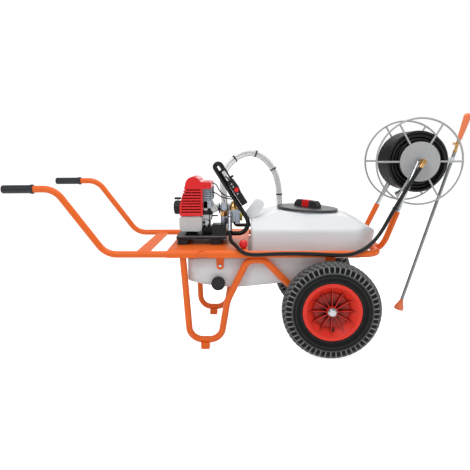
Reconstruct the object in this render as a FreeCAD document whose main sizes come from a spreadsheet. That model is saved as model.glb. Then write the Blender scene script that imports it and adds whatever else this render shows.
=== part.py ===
import FreeCAD, Part
import math
import os
import re
from types import SimpleNamespace
import Sketcher

os.makedirs("parts", exist_ok=True)
doc = FreeCAD.newDocument("WheelbarrowSprayer")
V = FreeCAD.Vector

# Driving dimensions, in millimetres and degrees.
# Lengths along the barrow are measured from the wheel axle, heights from the ground,
# and widths from the middle plane. The near side is -Y.
SIZES = {
    # whole barrow
    "rear_reach": 1332, "front_reach": 706,
    # frame tube
    "tube_across": 28, "tube_wall": 2, "rail_height": 422, "rail_half_gap": 284, "rail_bend": 90,
    "grip_height": 692, "handle_bend_back": 1117, "handle_bend_front": 919,
    "front_tube_reach": 197, "front_corner": 70, "front_joint_inset": 10,
    "grip_length": 130, "grip_across": 34, "grip_collar_across": 39, "grip_cap": 5,
    "brace_middle": 778, "brace_width": 57, "sheet": 3, "plate": 4, "weld": 0.1, "fit": 0.1, "play": 0.3,
    # engine platform
    "platform_rear": 667, "platform_front": 335, "platform_hole_reach": 524, "platform_hole_across": 44,
    "platform_skirt": 12,
    "platform_slot": 9, "platform_slot_inset": 14,
    # legs
    "leg_half_gap": 277, "leg_lean": 6.8, "leg_top_reach": 604, "foot_reach": 521, "foot_span": 132,
    "foot_bend": 58, "foot_height": 37, "leg_knee_reach": 424, "leg_knee_height": 215, "leg_knee_bend": 160,
    "leg_arch_reach": 303, "leg_arch_span": 70, "leg_arch_height": 395.5, "leg_arch_bend": 45,
    "leg_tail_reach": 82, "leg_tail_bend": 60, "pad_length": 36, "pad_width": 40, "pad_wrap": 5,
    # axle and wheels
    "axle_height": 200, "axle_across": 20, "axle_bracket_width": 40, "axle_bracket_thick": 8,
    "axle_bracket_half_gap": 270, "wheel_half_gap": 325, "tyre_across": 400, "tyre_width": 86,
    "tyre_wall": 8, "tread_width": 64, "bead_across": 226, "rim_across": 239, "rim_lip": 3.5,
    "rim_half_width": 37, "rim_wall": 4.5, "rim_mouth_across": 208, "rim_floor_across": 142,
    "rim_floor": 2, "rim_web": 5, "rim_pocket": 8, "rim_rib": 2.4, "rib_dip": 12, "rib_bend": 60,
    "hub_across": 48, "hub_half_width": 30, "valve_across": 12, "valve_reach": 74, "valve_angle": 85,
    "bearing_across": 35, "bearing_width": 11, "axle_nut_across": 38, "axle_nut_length": 13,
    "axle_stub": 6.7,
    # tank
    "tank_half_width": 248, "tank_wall": 4, "tank_rear": 592, "tank_front": 204, "tank_step": 325,
    "tank_shelf": 404, "tank_floor": 271, "tank_draft": 14, "tank_deck": 570, "deck_fall": 3.3,
    "tank_shoulder": 515, "side_rise": 0.473, "crown_half_width": 100, "tank_step_top": 546,
    "deck_rear": 215, "deck_front": 84,
    "nose_height": 502, "nose_chamfer": 82, "tank_corner": 28, "sump_middle": 400, "lid_reach": 68,
    "neck_across": 252, "neck_bore": 236, "neck_height": 7.5, "seal_height": 2, "lid_across": 274,
    "lid_drop": 6, "lid_top": 3.5, "lid_bar_length": 132, "lid_bar_height": 31, "lid_bar_width": 30,
    "lid_bar_turn": 45, "drain_reach": 461, "drain_height": 293, "drain_across": 48, "drain_bore": 36,
    "drain_root": 200,
    "drain_mouth": 264.7, "drain_cap_across": 57, "drain_cap_length": 18, "drain_cap_front": 270,
    "strap_reach": 452, "strap_width": 30, "strap_end": 350, "bolt_across": 14, "bolt_head": 5,
    "bolt_height": 367, "bowl_reach": 307, "bowl_side": 118, "bowl_length": 92, "bowl_across": 46,
    "bowl_width": 44, "bowl_tilt": 38, "bowl_height": 589,
    # reel
    "reel_reach": 392, "reel_height": 785, "ring_radius": 185, "ring_rod": 8, "ring_half_gap": 109,
    "hub_disc_across": 168, "hub_disc": 3, "drum_across": 140, "drum_wall": 2, "reel_shaft_across": 20,
    "reel_shaft_half": 150, "pack_across": 262, "pack_half_width": 97.5, "pack_hose_across": 15,
    "yoke_across": 25.4, "yoke_wall": 2.2, "yoke_reach": 224, "yoke_height": 421, "yoke_half_width": 190,
    "yoke_bend": 55, "arm_across": 20, "arm_wall": 1.5, "arm_half_gap": 137, "arm_joint": 170,
    "arm_offset": 14, "arm_insert": 40, "arm_boss_across": 34, "arm_boss_length": 22,
    "lug_width": 30, "lug_offset": 120,
    # lance
    "lance_side": 158, "lance_lean": 16.5, "lance_top": 985, "lance_grip_across": 34,
    "lance_grip_length": 106, "lance_neck_across": 12, "lance_valve_across": 18, "lance_valve_end": 172,
    "lance_tube_across": 10, "lance_tube_wall": 2, "lance_tube_end": 924, "nozzle_length": 54,
    "nozzle_across": 46, "clip_width": 24, "bracket_height": 25,
    # engine
    "base_rear": 645, "base_front": 428, "base_near": 170, "base_far": 50, "base_top": 478,
    "base_depth": 14, "mount_length": 44, "mount_width": 40,
    "crank_height": 590, "engine_side": 60, "crankcase_rear": 560, "crankcase_across": 64,
    "case_waist_across": 54, "case_waist_start": 28, "case_waist": 28, "cylinder_reach": 540,
    "cylinder_length": 84, "cylinder_width": 76, "cylinder_top": 694, "fin_pitch": 8, "fin_gap": 4,
    "fin_depth": 9, "shroud_rear": 633, "shroud_front": 533, "shroud_bottom": 560, "shroud_top": 728,
    "shroud_shoulder": 603, "plug_box_front": 494, "plug_box_bottom": 678, "plug_box_top": 706,
    "shroud_width": 145, "shroud_wall": 3, "louvre_bottom": 574.5, "louvre_pitch": 12,
    "louvre_height": 5, "louvre_inset": 7, "recoil_across": 62, "recoil_depth": 34,
    "fuel_rear": 638, "fuel_front": 538, "fuel_bottom": 491,
    "fuel_top": 557, "fuel_width": 128, "fuel_wall": 2.5, "fuel_cap_across": 36, "fuel_cap_length": 14,
    "pull_grip_length": 29, "pull_grip_width": 14, "pull_grip_height": 9, "pull_rope_across": 4,
    "pull_rope_shown": 5, "muffler_length": 62, "muffler_width": 40, "muffler_height": 66,
    # pump
    "pump_rear": 450, "pump_front": 374, "pump_bottom": 528, "pump_top": 606, "pump_near": 95,
    "pump_far": 12, "pump_flange_across": 60, "pump_flange": 14, "stand_length": 62, "stand_near": 168,
    "stand_width": 60, "head_reach": 398, "head_width": 40, "head_depth": 38,
    "head_bottom": 536, "head_top": 586, "dome_across": 35, "dome_height": 35, "socket_reach": 439,
    "socket_side": 112, "socket_across": 28, "socket_bottom": 577, "socket_top": 614.5, "tee_bottom": 549,
    "regulator_height": 549.5, "regulator_side": 72, "regulator_across": 38, "regulator_length": 11.5,
    "outlet_reach": 414, "outlet_height": 574, "elbow_across": 18, "elbow_gap": 7, "stub_across": 12,
    "ferrule_across": 19, "ferrule_length": 76, "ferrule_lean": 30,
    "suction_across": 16, "suction_wall": 2.5, "suction_height": 508, "suction_side": 52,
    "suction_reach": 396,
    # control handle
    "handle_side": 158, "handle_tube_across": 19, "handle_tube_bore": 14, "handle_lean": 58,
    "handle_slope": 281, "handle_loop": 28, "handle_foot_reach": 428,
    "handle_toe_reach": 352, "handle_heel_reach": 331, "handle_heel_height": 537,
    "throttle_thick": 30, "throttle_length": 206, "trigger_thick": 12, "stop_across": 19,
    "stop_down": 135, "stop_out": 29, "stop_height": 6, "stop_travel": 3,
    "lock_across": 9, "lock_down": 78, "lock_floor": 31, "lock_top": 48, "lock_travel": 4,
    # hoses and cables
    "hose_across": 16, "tank_hose_across": 13, "cable_across": 5, "tie_width": 4, "tie_thick": 1.6,
    # tap beside the tank
    "tap_reach": 355, "tap_height": 458, "tap_side": 246, "tap_across": 36, "tap_length": 20,
    "tap_post_width": 16,
}

sheet = doc.addObject("Spreadsheet::Sheet", "Sizes")
for row, (name, value) in enumerate(SIZES.items(), start=1):
    sheet.set("A%d" % row, name)
    sheet.set("B%d" % row, str(value))
    sheet.setAlias("B%d" % row, name)
doc.recompute()
s = SimpleNamespace(**{name: float(sheet.get(name)) for name in SIZES})

NEAR = "-1"
FAR = "1"
MIDDLE = "(rear_reach - front_reach) / 2"
TURNS = {
    "x": (V(0, 1, 0), 90), "-x": (V(0, 1, 0), -90),
    "y": (V(1, 0, 0), -90), "-y": (V(1, 0, 0), 90), "z": (V(0, 0, 1), 0),
}
stands = {}
nodes = []


def bind(thing, prop, formula):
    """Ties one size or place of a thing to a formula of named sizes."""
    words = re.split(r"([A-Za-z_]+)", formula)
    thing.setExpression(prop, "".join("Sizes." + word if word in SIZES else word for word in words))


def place(thing, x="0", y="0", z="0", turn=None):
    """Stands a thing at a place given by formulas, after an optional turn (axis, degrees)."""
    if turn:
        thing.Placement = FreeCAD.Placement(V(0, 0, 0), FreeCAD.Rotation(*turn))
    for axis, formula in zip("xyz", (x, y, z)):
        bind(thing, ".Placement.Base." + axis, formula)
    stands[thing.Name] = x
    return thing


def node(name, thing):
    """Makes a thing a sub-part: names it, and moves it from the axle to the middle of the length."""
    thing.Label = name
    bind(thing, ".Placement.Base.x", "%s + %s" % (stands.get(thing.Name, "0"), MIDDLE))
    nodes.append(thing)
    return thing


def rod(name, across, length, x="0", y="0", z="0", along="z", turn=None):
    solid = doc.addObject("Part::Cylinder", name)
    bind(solid, "Radius", "(%s) / 2" % across)
    bind(solid, "Height", length)
    return place(solid, x, y, z, turn or TURNS[along])


def box(name, length, width, height, x="0", y="0", z="0", turn=None):
    solid = doc.addObject("Part::Box", name)
    for prop, formula in (("Length", length), ("Width", width), ("Height", height)):
        bind(solid, prop, formula)
    return place(solid, x, y, z, turn)


def fuse(name, *solids):
    joined = doc.addObject("Part::MultiFuse", name)
    joined.Shapes = list(solids)
    return joined


def group(name, *solids):
    together = doc.addObject("Part::Compound", name)
    together.Links = list(solids)
    return together


def cut(name, base, *tools):
    result = doc.addObject("Part::Cut", name)
    result.Base = base
    result.Tool = tools[0] if len(tools) == 1 else fuse(name + "_tools", *tools)
    return result


def common(name, first, second):
    result = doc.addObject("Part::MultiCommon", name)
    result.Shapes = [first, second]
    return result


def rounded(corners, closed=True):
    """Lines through the corners (x, y[, radius]); a corner with a radius becomes a tangent arc."""
    count = len(corners)
    stops = []
    for i, corner in enumerate(corners):
        point = V(corner[0], corner[1], 0)
        radius = corner[2] if len(corner) > 2 else 0
        if radius <= 0 or (not closed and i in (0, count - 1)):
            stops.append((point, None, point))
            continue
        before, after = corners[i - 1], corners[(i + 1) % count]
        back = (V(before[0], before[1], 0) - point).normalize()
        ahead = (V(after[0], after[1], 0) - point).normalize()
        half = back.getAngle(ahead) / 2
        centre = point + (back + ahead).normalize() * (radius / math.sin(half))
        middle = centre + (point - centre).normalize() * radius
        reach = radius / math.tan(half)
        stops.append((point + back * reach, middle, point + ahead * reach))
    edges = []
    for i, (start, middle, end) in enumerate(stops):
        if middle:
            edges.append(Part.Arc(start, middle, end))
        if closed or i < count - 1:
            following = stops[(i + 1) % count][0]
            if (following - end).Length > 1e-6:
                edges.append(Part.LineSegment(end, following))
    return edges


def inset(corners, by):
    """The same outline, drawn anticlockwise, moved inwards all round by one wall."""
    moved = []
    count = len(corners)
    for i, corner in enumerate(corners):
        before, after = corners[i - 1], corners[(i + 1) % count]
        into = (V(corner[0], corner[1], 0) - V(before[0], before[1], 0)).normalize()
        out = (V(after[0], after[1], 0) - V(corner[0], corner[1], 0)).normalize()
        left_in, left_out = V(-into.y, into.x, 0), V(-out.y, out.x, 0)
        shift = (left_in + left_out) * (by / (1 + left_in.dot(left_out)))
        bulges = into.cross(out).z > 0
        radius = corner[2] if len(corner) > 2 else 0
        radius = max(radius - by, 0) if bulges else (radius + by if radius else 0)
        moved.append((corner[0] + shift.x, corner[1] + shift.y, radius))
    return moved


def new_body(name):
    return doc.addObject("PartDesign::Body", name)


def plane_of(body, role):
    return [feature for feature in body.Origin.OriginFeatures if feature.Role == role][0]


def sketch(body, name, plane, outline=(), circles=(), lift=None):
    """A sketch on one of the body's own planes: a rounded outline and circles (x, y, across formula)."""
    drawing = body.newObject("Sketcher::SketchObject", name)
    drawing.AttachmentSupport = [(plane_of(body, plane), "")]
    drawing.MapMode = "FlatFace"
    if lift:
        bind(drawing, ".AttachmentOffset.Base.z", lift)
    if outline:
        drawing.addGeometry(rounded(outline), False)
    for x, y, across in circles:
        index = drawing.addGeometry(Part.Circle(V(x, y, 0), V(0, 0, 1), 1), False)
        drawing.addConstraint(Sketcher.Constraint("Radius", index, 1.0))
        bind(drawing, "Constraints[%d]" % (drawing.ConstraintCount - 1), "(%s) / 2" % across)
    return drawing


def pad(body, name, drawing, length, symmetric=True):
    raised = body.newObject("PartDesign::Pad", name)
    raised.Profile = drawing
    raised.SideType = "Symmetric" if symmetric else "One side"
    bind(raised, "Length", length)
    return raised


def plate(name, plane, outline, thick, circles=(), x="0", y="0", z="0", turn=None):
    """A flat piece: its outline padded by half its thickness to each side of the plane."""
    body = new_body(name)
    pad(body, name + "_pad", sketch(body, name + "_outline", plane, outline, circles), thick)
    return place(body, x, y, z, turn)


def turned(name, profile, x="0", y="0", z="0", along="z", turn=None):
    """A turned piece: a profile of (radius, distance along[, rounding]) spun about its axis."""
    body = new_body(name)
    spun = body.newObject("PartDesign::Revolution", name + "_spin")
    drawing = sketch(body, name + "_profile", "XZ_Plane", profile)
    spun.Profile = drawing
    spun.ReferenceAxis = (drawing, ["V_Axis"])
    spun.Angle = 360
    return place(body, x, y, z, turn or TURNS[along])


def bent_tube(name, plane, route, across, wall, x="0", y="0", z="0", turn=None):
    """A tube bent in one plane: its round section carried along a route of runs and bends."""
    body = new_body(name)
    spine = body.newObject("Sketcher::SketchObject", name + "_route")
    spine.AttachmentSupport = [(plane_of(body, plane), "")]
    spine.MapMode = "FlatFace"
    spine.addGeometry(rounded(route, closed=False), False)
    doc.recompute()
    section = body.newObject("Sketcher::SketchObject", name + "_section")
    section.AttachmentSupport = [(spine, "Edge1")]
    section.MapMode = "NormalToEdge"
    section.MapPathParameter = 0
    for index, formula in enumerate((across, "(%s) - 2 * (%s)" % (across, wall))):
        section.addGeometry(Part.Circle(V(0, 0, 0), V(0, 0, 1), 1 + index), False)
        section.addConstraint(Sketcher.Constraint("Coincident", index, 3, -1, 1))
        section.addConstraint(Sketcher.Constraint("Radius", index, 1.0 + index))
        bind(section, "Constraints[%d]" % (section.ConstraintCount - 1), "(%s) / 2" % formula)
    pipe = body.newObject("PartDesign::AdditivePipe", name + "_pipe")
    pipe.Profile = (section, [""])
    pipe.Spine = (spine, ["Edge%d" % (i + 1) for i in range(len(spine.Shape.Edges))])
    return place(body, x, y, z, turn)


def soft_path(points):
    """A hose's path: straight runs joined by arcs as large as 0.45 of the shorter run allows."""
    points = [V(*point) for point in points]
    stops = [(points[0], None, points[0])]
    radii = []
    for before, point, after in zip(points, points[1:], points[2:]):
        back, ahead = before - point, after - point
        reach = 0.45 * min(back.Length, ahead.Length)
        turn = math.pi - back.getAngle(ahead)
        radius = reach / math.tan(turn / 2)
        radii.append(radius)
        back.normalize()
        ahead.normalize()
        centre = point + (back + ahead).normalize() * (radius / math.cos(turn / 2))
        middle = centre + (point - centre).normalize() * radius
        stops.append((point + back * reach, middle, point + ahead * reach))
    stops.append((points[-1], None, points[-1]))
    edges = []
    for (start, middle, end), following in zip(stops, stops[1:] + [None]):
        if middle:
            edges.append(Part.Arc(start, middle, end).toShape())
        if following:
            edges.append(Part.LineSegment(end, following[0]).toShape())
    return Part.Wire(edges), radii


def hose(name, points, across):
    """A hose or cable as a round solid along its soft path; prints its bends and checks its volume."""
    path, radii = soft_path(points)
    tangent = V(*points[1]) - V(*points[0])
    section = Part.Wire(Part.makeCircle(across / 2, V(*points[0]), tangent))
    solid = path.makePipeShell([section], True, False)
    wanted = math.pi * across ** 2 / 4 * path.Length
    print("%s: length %.0f, smallest bend %.0f, volume off by %.2f%%"
          % (name, path.Length, min(radii), 100 * (solid.Volume / wanted - 1)))
    return solid


def feature(name, shape):
    thing = doc.addObject("Part::Feature", name)
    thing.Shape = shape
    return thing


def both(name, make):
    """The near and far copies of a piece, as one group."""
    return group(name, make(name + "_near", NEAR), make(name + "_far", FAR))


# Frame: two bent side tubes whose rear ends are the handles, closed by a bent tube in front

front_joint = s.front_tube_reach - s.front_corner - s.front_joint_inset


def rail(name, side):
    route = [(-s.rear_reach + s.grip_cap, s.grip_height),
             (-s.handle_bend_back, s.grip_height, s.rail_bend),
             (-s.handle_bend_front, s.rail_height, s.rail_bend),
             (front_joint, s.rail_height)]
    return bent_tube(name, "XZ_Plane", route, "tube_across", "tube_wall", y=side + " * rail_half_gap")


def rail_space(name, side):
    """The room that a rail takes, to cope the pieces welded to it."""
    return rod(name, "tube_across", "platform_rear + front_tube_reach", x="-platform_rear - rail_bend",
               y=side + " * rail_half_gap", z="rail_height", along="x")


node("rail_near", rail("rail_near", NEAR))
node("rail_far", rail("rail_far", FAR))
node("front_cross_tube", bent_tube(
    "front_cross_tube", "XY_Plane",
    [(front_joint, -s.rail_half_gap), (s.front_tube_reach, -s.rail_half_gap, s.front_corner),
     (s.front_tube_reach, s.rail_half_gap, s.front_corner), (front_joint, s.rail_half_gap)],
    "tube_across", "tube_wall", z="rail_height"))


def grip(name, side):
    bore = s.tube_across / 2 + s.fit
    collar = 8
    profile = [(0, 0), (s.grip_across / 2, 0, 6), (s.grip_across / 2, s.grip_length - 2 * collar, 3),
               (s.grip_collar_across / 2, s.grip_length - collar, 2),
               (s.grip_collar_across / 2, s.grip_length, 1.5), (bore, s.grip_length),
               (bore, s.grip_cap), (0, s.grip_cap)]
    return turned(name, profile, x="-rear_reach", y=side + " * rail_half_gap", z="grip_height", along="x")


node("handle_grips", both("grip", grip))

node("handle_brace", plate(
    "handle_brace", "XY_Plane",
    [(-s.brace_width / 2, -s.rail_half_gap + s.tube_across / 2 + s.weld),
     (s.brace_width / 2, -s.rail_half_gap + s.tube_across / 2 + s.weld),
     (s.brace_width / 2, s.rail_half_gap - s.tube_across / 2 - s.weld),
     (-s.brace_width / 2, s.rail_half_gap - s.tube_across / 2 - s.weld)],
    "plate", x="-brace_middle", z="rail_height"))

# Engine platform: a sheet that wraps over both rails, and a tube that stiffens it

PLATFORM_TOP = "rail_height + tube_across / 2 + weld + sheet"
inner_bend = s.tube_across / 2 + s.weld
wrap = s.rail_half_gap + inner_bend
rail_top = s.rail_height + inner_bend
skirt = s.rail_height - s.platform_skirt
platform = new_body("platform")
pad(platform, "platform_pad", sketch(platform, "platform_section", "YZ_Plane", [
    (-wrap - s.sheet, skirt), (-wrap, skirt), (-wrap, rail_top, inner_bend),
    (wrap, rail_top, inner_bend), (wrap, skirt), (wrap + s.sheet, skirt),
    (wrap + s.sheet, rail_top + s.sheet, inner_bend + s.sheet),
    (-wrap - s.sheet, rail_top + s.sheet, inner_bend + s.sheet)]),
    "platform_rear - platform_front")
place(platform, x="-(platform_rear + platform_front) / 2")
holes = [rod("platform_bolt_hole_%s%d" % (label, i), "platform_slot", "4 * sheet",
             x="-platform_rear + platform_slot_inset + %d * platform_slot" % (2 * i),
             y=side + " * (rail_half_gap - 2 * platform_slot_inset)",
             z="rail_height + tube_across / 2 - sheet")
         for label, side in (("near", NEAR), ("far", FAR)) for i in range(2)]
notch = rod("platform_notch", "platform_hole_across", "2 * rail_half_gap + 2 * tube_across",
            x="-platform_hole_reach", y="-rail_half_gap - tube_across",
            z="rail_height - platform_skirt + 2 * sheet", along="y")
notch_core = box("platform_notch_core", "2 * platform_hole_across", "2 * rail_half_gap", "4 * tube_across",
                 x="-platform_hole_reach - platform_hole_across", y="-rail_half_gap",
                 z="rail_height - 2 * tube_across")
platform_sheet = cut("platform_sheet", platform, cut("platform_notches", notch, notch_core), *holes)
cross_rod = rod("cross_rod", "tube_across", "2 * rail_half_gap", x="-platform_hole_reach",
                y="-rail_half_gap", z="rail_height", along="y")
cross_bore = rod("cross_bore", "tube_across - 2 * tube_wall", "2 * rail_half_gap",
                 x="-platform_hole_reach", y="-rail_half_gap", z="rail_height", along="y")
cross_tube = cut("cross_tube", cross_rod, cross_bore,
                 rail_space("cross_cope_near", NEAR), rail_space("cross_cope_far", FAR))
node("engine_platform", group("engine_platform", platform_sheet, cross_tube))

# Legs: each is one bent tube from the rail down to a foot, up to the rail again and on to the axle

lean = math.radians(s.leg_lean)


def leg_point(reach, height, bend=0):
    return (-reach, (height - s.rail_height) / math.cos(lean), bend)


def leg(name, side):
    route = [leg_point(s.leg_top_reach, s.rail_height - s.tube_across / 4),
             leg_point(s.foot_reach + s.foot_span / 2, s.foot_height, s.foot_bend),
             leg_point(s.foot_reach - s.foot_span / 2, s.foot_height, s.foot_bend),
             leg_point(s.leg_knee_reach, s.leg_knee_height, s.leg_knee_bend),
             leg_point(s.leg_arch_reach + s.leg_arch_span / 2, s.leg_arch_height, s.leg_arch_bend),
             leg_point(s.leg_arch_reach - s.leg_arch_span / 2, s.leg_arch_height, s.leg_arch_bend),
             leg_point(s.leg_tail_reach, s.axle_height, s.leg_tail_bend),
             leg_point(s.tube_across / 2 + s.weld, s.axle_height)]
    tilt = s.leg_lean if side == NEAR else -s.leg_lean
    bent = bent_tube(name + "_bent", "XZ_Plane", route, "tube_across", "tube_wall",
                     y=side + " * leg_half_gap", z="rail_height", turn=(V(1, 0, 0), tilt))
    return cut(name + "_tube", bent, rail_space(name + "_cope", side))


foot_side = "(leg_half_gap - (rail_height - foot_height) * tan(leg_lean))"


def foot_pad(name, side):
    block = plate(name + "_block", "XZ_Plane",
                  [(-s.pad_length / 2, 0, 3), (s.pad_length / 2, 0, 3),
                   (s.pad_length / 2, s.foot_height - s.tube_across / 2 + s.pad_wrap),
                   (-s.pad_length / 2, s.foot_height - s.tube_across / 2 + s.pad_wrap)],
                  "pad_width", x="-foot_reach", y="%s * %s" % (side, foot_side))
    groove = rod(name + "_groove", "tube_across - tube_wall", "2 * pad_length", x="-foot_reach - pad_length",
                 y="%s * %s" % (side, foot_side), z="foot_height", along="x")
    return cut(name, block, groove)


node("leg_near", fuse("leg_near", leg("leg_near", NEAR), foot_pad("foot_pad_near", NEAR)))
node("leg_far", fuse("leg_far", leg("leg_far", FAR), foot_pad("foot_pad_far", FAR)))

# Axle: a cross tube between two hanger plates, with the axle through it and a wheel at each end


def hanger(name, side):
    half = s.axle_bracket_width / 2
    return plate(name, "XZ_Plane",
                 [(-half, s.axle_height - half, half - 0.1), (half, s.axle_height - half, half - 0.1),
                  (half, s.rail_height), (-half, s.rail_height)],
                 "axle_bracket_thick", y=side + " * axle_bracket_half_gap")


axle_sleeve = rod("axle_sleeve", "tube_across", "2 * axle_bracket_half_gap", y="-axle_bracket_half_gap",
                  z="axle_height", along="y")
axle_space = rod("axle_space", "axle_across + 4 * fit", "2 * wheel_half_gap", y="-wheel_half_gap",
                 z="axle_height", along="y")
node("axle_carrier", cut(
    "axle_carrier", fuse("axle_weldment", axle_sleeve, hanger("hanger_near", NEAR), hanger("hanger_far", FAR)),
    axle_space, rail_space("hanger_cope_near", NEAR), rail_space("hanger_cope_far", FAR)))
hub_end = "(wheel_half_gap + hub_half_width)"
node("axle", rod("axle_rod", "axle_across", "2 * (%s + play + axle_stub)" % hub_end,
                 y="-(%s + play + axle_stub)" % hub_end, z="axle_height", along="y"))


def axle_nut(name, side):
    bore = s.axle_across / 2 + s.fit / 2
    profile = [(bore, 0), (s.axle_nut_across / 2, 0), (s.axle_nut_across / 2, s.axle_nut_length / 2, 2),
               (s.axle_nut_across / 3, s.axle_nut_length, 4), (0, s.axle_nut_length),
               (0, s.axle_stub), (bore, s.axle_stub)]
    return turned(name, profile, y="%s * (%s + play)" % (side, hub_end), z="axle_height",
                  along="-y" if side == NEAR else "y")


def axle_spacer(name, side):
    start = s.axle_bracket_half_gap + s.axle_bracket_thick / 2
    length = s.wheel_half_gap - s.hub_half_width - s.play - start
    bore = s.axle_across / 2 + s.fit / 2
    profile = [(bore, 0), (s.tube_across / 2, 0, 1), (s.tube_across / 2, length, 1), (bore, length)]
    return turned(name, profile, y="%s * %s" % (side, "(axle_bracket_half_gap + axle_bracket_thick / 2)"),
                  z="axle_height", along="-y" if side == NEAR else "y")


def strap_bolt(name, side):
    profile = [(0, 0), (s.bolt_across / 2, 0), (s.bolt_across / 2, s.bolt_head * 0.6, 2),
               (s.bolt_across / 4, s.bolt_head, 1), (0, s.bolt_head)]
    return turned(name, profile, x="-strap_reach", y=side + " * (tank_half_width + play + plate)",
                  z="bolt_height", along="-y" if side == NEAR else "y")


node("frame_fasteners", group("frame_fasteners", both("axle_nut", axle_nut),
                              both("axle_spacer", axle_spacer), both("strap_bolt", strap_bolt)))


def tyre(name, side):
    """Hollow tyre: a bulging wall from bead to bead with a flatter tread."""
    tread, half, bead = s.tyre_across / 2, s.tyre_width / 2, s.bead_across / 2
    clear_lip, seat = s.rim_across / 2 + s.play, s.rim_half_width - s.rim_lip - s.fit
    outer = [(bead, -seat), (clear_lip, -seat), ((bead + tread) / 2 - 8, -half, 26),
             (tread - 12, -half + 2, 12), (tread, -s.tread_width / 2, 8), (tread, s.tread_width / 2, 8),
             (tread - 12, half - 2, 12), ((bead + tread) / 2 - 8, half, 26),
             (clear_lip, seat), (bead, seat)]
    wall = s.tyre_wall
    inner = [(bead, s.rim_half_width - s.rim_lip - 2 * wall), ((bead + tread) / 2 - 8, half - wall, 18),
             (tread - 12 - wall / 2, half - 2 - wall, 8), (tread - wall, 0),
             (tread - 12 - wall / 2, -half + 2 + wall, 8), ((bead + tread) / 2 - 8, -half + wall, 18),
             (bead, -s.rim_half_width + s.rim_lip + 2 * wall)]
    return turned(name, outer + inner, y=side + " * wheel_half_gap", z="axle_height",
                  along="-y" if side == NEAR else "y")


def valve_rod(name, side, across, start, end):
    """A rod on the tyre valve's line, which points from the axle down through the dish."""
    return rod(name, across, "(%s) - (%s)" % (end, start), x="(%s) * cos(valve_angle)" % start,
               y=side + " * (wheel_half_gap + rim_floor + 2 * rim_web)",
               z="axle_height - (%s) * sin(valve_angle)" % start, turn=(V(0, 1, 0), 90 + s.valve_angle))


def valve(name, side):
    """Rubber tyre valve: a stem through the barrel into the dish, with its head inside the tyre."""
    return fuse(name, valve_rod(name + "_stem", side, "valve_across", "valve_reach", "bead_across / 2 + fit"),
                valve_rod(name + "_head", side, "1.5 * valve_across", "bead_across / 2 + fit",
                          "bead_across / 2 + rim_lip"))


def rim(name, side):
    """Dished wheel centre: barrel with two lips, sloping dish, floor, hub and twelve thin ribs."""
    lip, half, seat = s.rim_across / 2, s.rim_half_width, s.bead_across / 2 - s.fit
    mouth, floor, hub = s.rim_mouth_across / 2, s.rim_floor_across / 2, s.hub_across / 2
    bore, barrel, web = s.bearing_across / 2, seat - s.rim_wall, s.rim_floor - s.rim_web
    slope = (mouth - floor) / (half - s.rim_floor)
    behind = floor + s.rim_web * math.hypot(1, slope)
    pocket = half - s.rim_pocket
    profile = [(bore, -s.hub_half_width), (hub, -s.hub_half_width), (hub - 2, web),
               (behind - slope * s.rim_web, web, 4), (behind + slope * (pocket - s.rim_floor), pocket),
               (barrel, pocket), (barrel, -half), (lip, -half), (lip, -half + s.rim_lip),
               (seat, -half + s.rim_lip), (seat, half - s.rim_lip), (lip, half - s.rim_lip), (lip, half, 1.5),
               (mouth, half, 1.5), (floor, s.rim_floor, 6), (hub - 2, s.rim_floor),
               (hub - 2, s.hub_half_width, 1.5), (bore, s.hub_half_width)]
    body = new_body(name)
    spun = body.newObject("PartDesign::Revolution", name + "_spin")
    drawing = sketch(body, name + "_profile", "XZ_Plane", profile)
    spun.Profile = drawing
    spun.ReferenceAxis = (drawing, ["V_Axis"])
    spun.Angle = 360
    rib_end = half - s.rim_lip
    rib_outline = [(hub - 3, s.rim_floor - 1), (floor + 1, s.rim_floor - 1),
                   (mouth - slope * s.rim_lip + 1, rib_end), ((hub + mouth) / 2, s.rib_dip, s.rib_bend),
                   (hub - 3, s.hub_half_width - 3)]
    rib = pad(body, name + "_rib", sketch(body, name + "_rib_outline", "XZ_Plane", rib_outline), "rim_rib")
    doc.recompute()
    ribs = body.newObject("PartDesign::PolarPattern", name + "_ribs")
    ribs.Originals = [rib]
    ribs.Axis = (drawing, ["V_Axis"])
    ribs.Angle = 360
    ribs.Occurrences = 12
    body.Tip = ribs
    place(body, y=side + " * wheel_half_gap", z="axle_height", turn=TURNS["-y" if side == NEAR else "y"])
    return cut(name + "_drilled", body, valve_rod(name + "_valve_hole", side, "valve_across + 2 * fit",
                                                  "valve_reach", "bead_across / 2 + fit"))


def bearings(name, side):
    bore = s.axle_across / 2 + s.fit / 2

    def ring(ring_name, start):
        return turned(ring_name, [(bore, 0), (s.bearing_across / 2, 0, 1),
                                  (s.bearing_across / 2, s.bearing_width, 1), (bore, s.bearing_width)],
                      y="%s * wheel_half_gap + %s" % (side, start), z="axle_height", along="y")

    return group(name, ring(name + "_inner", "-hub_half_width"),
                 ring(name + "_outer", "hub_half_width - bearing_width"))


for side_name, side in (("near", NEAR), ("far", FAR)):
    node("tyre_" + side_name, group("tyre_" + side_name + "_and_valve", tyre("carcass_" + side_name, side),
                                    valve("valve_" + side_name, side)))
    node("wheel_centre_" + side_name, rim("rim_" + side_name, side))
    node("bearings_" + side_name, bearings("bearings_" + side_name, side))

# Tank: one hollow moulding, hipped on top, from three outlines carried through each other

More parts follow.
